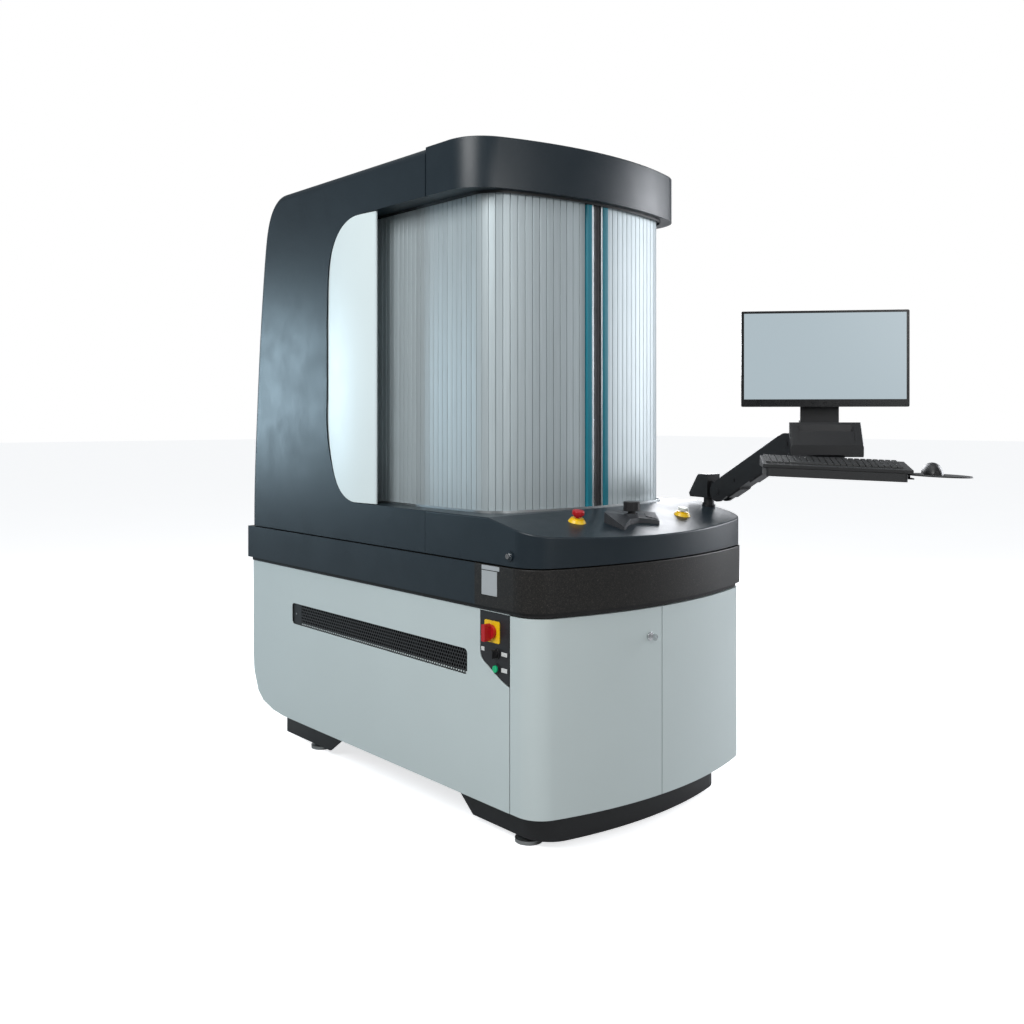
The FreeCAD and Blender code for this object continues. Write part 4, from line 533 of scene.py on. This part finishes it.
def edge_parts(side):
    def f(lo, hi):
        if hi[2] - lo[2] < 20:
            return (side + "_edge_cap", "seal", 0.0006)
        if hi[2] < 2042:
            return (side + "_edge_bar", "teal", 0.0)
        if hi[0] - lo[0] < 12:
            return (side + "_edge_trim", "trim", 0.0)
        return (side + "_edge_seal", "seal", 0.0)
    return f
for side in ("left", "right"):
    carry(side + "_curtain_edge", "teal", 0.0, split=edge_parts(side))
carry("curtain_rails", "rail", 0.0, split=lambda lo, hi: ("curtain_rail_top", "rail_dark") if hi[2] > 1500 else ("curtain_rail_sill", "rail"))

# ------------------------------------------------------------------ vents
def vent(side, m):
    bm = bmesh.new()
    R, r, w, j, z = 7.5, 5.5, 7.5 * math.sqrt(3), 0, 500.0
    while z < 592:
        y = 399.0 + (w / 2 if j % 2 else 0)
        while y < 1466:
            o = [bm.verts.new(P(-493.4 * m, y + R * math.sin(math.radians(60 * k)), z + R * math.cos(math.radians(60 * k)))) for k in range(6)]
            q = [bm.verts.new(P(-493.4 * m, y + r * math.sin(math.radians(60 * k)), z + r * math.cos(math.radians(60 * k)))) for k in range(6)]
            for k in range(6):
                bm.faces.new((o[k], o[(k + 1) % 6], q[(k + 1) % 6], q[k]))
            y += w
        z += 1.5 * R
        j += 1
    bmesh.ops.remove_doubles(bm, verts=bm.verts, dist=2e-5)
    bmesh.ops.recalc_face_normals(bm, faces=bm.faces)
    ob = new_obj(side + "_vent_mesh", bm, "mesh", "frame")
    so = ob.modifiers.new("thick", "SOLIDIFY")
    so.thickness = 0.0012
    so.offset = 0
    a = sorted((-494.4 * m, -492.6 * m))
    solid_box(side + "_vent_blank", (a[0], 1462, 496), (a[1], 1535, 594), "rail_dark", "frame")
    pin(side + "_vent_screw", (-494.4 * m, 1500, 545), (-m, 0, 0), 3.5, 1.5, "zinc", "frame")
    a = sorted((-488 * m, -483 * m))
    solid_box(side + "_vent_filter", (a[0], 400, 497), (a[1], 1530, 593), "foam", "frame")
    a = sorted((-492.2 * m, -488.2 * m))
    # the panel's lower return, in the lighter copy of its paint as a painted highlight
    solid_box(side + "_vent_ledge", (a[0], 408, 496), (a[1], 1464, 511), "panel_lit_ledge", "frame")
    return ob
lv = vent("left", 1)
vent("right", -1)
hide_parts("vent_grilles")

# ------------------------------------------------------------------ panels, labels, plates, canopy, keyboard
carry("side_panels", "panel", 0.0012, 3)
carry("right_front_door", "panel", 0.0012, 3)
carry("left_front_door", "panel", 0.0012, 3, split=lambda lo, hi: ("door_lock_ring", "chrome", 0.0004) if hi[2] - lo[2] < 60 else ("left_door_skin", "panel"))
carry("control_inset_panel", "black", 0.0004, split=lambda lo, hi: ("switch_labels", "label", 0.0002) if hi[0] - lo[0] < 1.5 and hi[2] - lo[2] < 20 else (("switch_blocks", "black_plastic", 0.0006) if hi[2] - lo[2] < 70 else ("control_panel_face", "black", 0.0006)))
carry("canopy", "cover", 0.0, split=lambda lo, hi: ("chamber_light_bars", "lamp", 0.001) if hi[2] < 2051 else ("canopy_shell", "cover"))
carry("keyboard", "keys", 0.0007, split=lambda lo, hi: ("keyboard_keys", "keys") if math.dist(lo, hi) < 200 else ("keyboard_body", "matt_plastic", 0.0012))
solid_box("rating_plate_large", (-515, 240, 773), (-514.05, 314, 848), "plate", "frame", 0.0003)
solid_box("rating_plate_small", (-515, 229, 850.5), (-514.05, 314, 864), "plate", "frame", 0.0003)

# ------------------------------------------------------------------ floor, light, camera
fm = Mat("studio_floor")
# bright to the lens, darker to the light that bounces, so the machine's dark covers stay dark
fcol = fm.mix(fm.remap(fm.noise(1.3, 2, 0.5), 0.3, 0.7, 0.0, 1.0), (0.86, 0.865, 0.87), (0.88, 0.885, 0.89))
flp = fm.node("ShaderNodeLightPath")
fm.done(fm.mix(flp.outputs["Is Camera Ray"], (0.42, 0.425, 0.43), fcol), 0.75)
fm.b.inputs["Emission Color"].default_value = (0.985, 0.99, 1.0, 1)
fm.link(fm.math("MULTIPLY", flp.outputs["Is Camera Ray"], 0.74), fm.b.inputs["Emission Strength"])
bm = bmesh.new()
bmesh.ops.create_grid(bm, x_segments=4, y_segments=4, size=60)
me = bpy.data.meshes.new("floor")
bm.to_mesh(me)
bm.free()
fl = bpy.data.objects.new("floor", me)
COL.objects.link(fl)
fl.data.materials.append(fm.m)

w = bpy.data.worlds.new("studio")
SC.world = w
w.use_nodes = True
wn = w.node_tree
wn.nodes.clear()
wo = wn.nodes.new("ShaderNodeOutputWorld")
bgc = wn.nodes.new("ShaderNodeBackground")
bgl = wn.nodes.new("ShaderNodeBackground")
mixs = wn.nodes.new("ShaderNodeMixShader")
lp = wn.nodes.new("ShaderNodeLightPath")
bgc.inputs["Color"].default_value = (1, 1, 1, 1)
bgc.inputs["Strength"].default_value = 1.0
bgl.inputs["Color"].default_value = (0.93, 0.97, 1.0, 1)
bgl.inputs["Strength"].default_value = 0.24
wn.links.new(lp.outputs["Is Camera Ray"], mixs.inputs["Fac"])
wn.links.new(bgl.outputs[0], mixs.inputs[1])
wn.links.new(bgc.outputs[0], mixs.inputs[2])
wn.links.new(mixs.outputs[0], wo.inputs["Surface"])


def area(name, loc, target, size, power, color=(1, 1, 1)):
    ld = bpy.data.lights.new(name, "AREA")
    ld.shape = "RECTANGLE"
    ld.size, ld.size_y = size
    ld.energy = power
    ld.color = color
    o = bpy.data.objects.new(name, ld)
    COL.objects.link(o)
    o.location = loc
    o.rotation_euler = (Vector(target) - Vector(loc)).to_track_quat("-Z", "Y").to_euler()
    return o


area("key_left", (-4.0, -1.1, 3.9), (-0.3, 0.0, 1.0), (2.4, 2.4), 165, (0.99, 1.0, 1.0))
area("front_fill", (-1.0, -5.0, 2.6), (0.0, -0.5, 1.0), (2.8, 2.2), 62)
area("right_side", (4.0, -2.0, 2.0), (0.3, -0.5, 1.0), (1.4, 2.6), 120, (0.93, 0.95, 1.0))
area("right_back", (3.9, 3.2, 2.9), (0.2, -0.4, 1.0), (2.6, 2.6), 170, (0.94, 0.96, 1.0))
area("rear_glow", (-2.25, 4.1, 1.55), (-0.5, 0.75, 1.35), (0.8, 1.1), 42, (0.62, 0.85, 1.0))
area("top_soft", (0.0, 0.2, 5.2), (0, 0, 1), (4.0, 4.0), 80)

cam = bpy.data.cameras.new("camera")
cam.sensor_width = 36
cam.lens = 36.57
cam.shift_x, cam.shift_y = -0.0273, -0.0906
cam.clip_end = 200
co = bpy.data.objects.new("camera", cam)
COL.objects.link(co)
co.location = (-2.5325, -3.1233, 1.3122)
co.rotation_euler = (math.radians(90), 0, math.radians(-42.07))
SC.camera = co
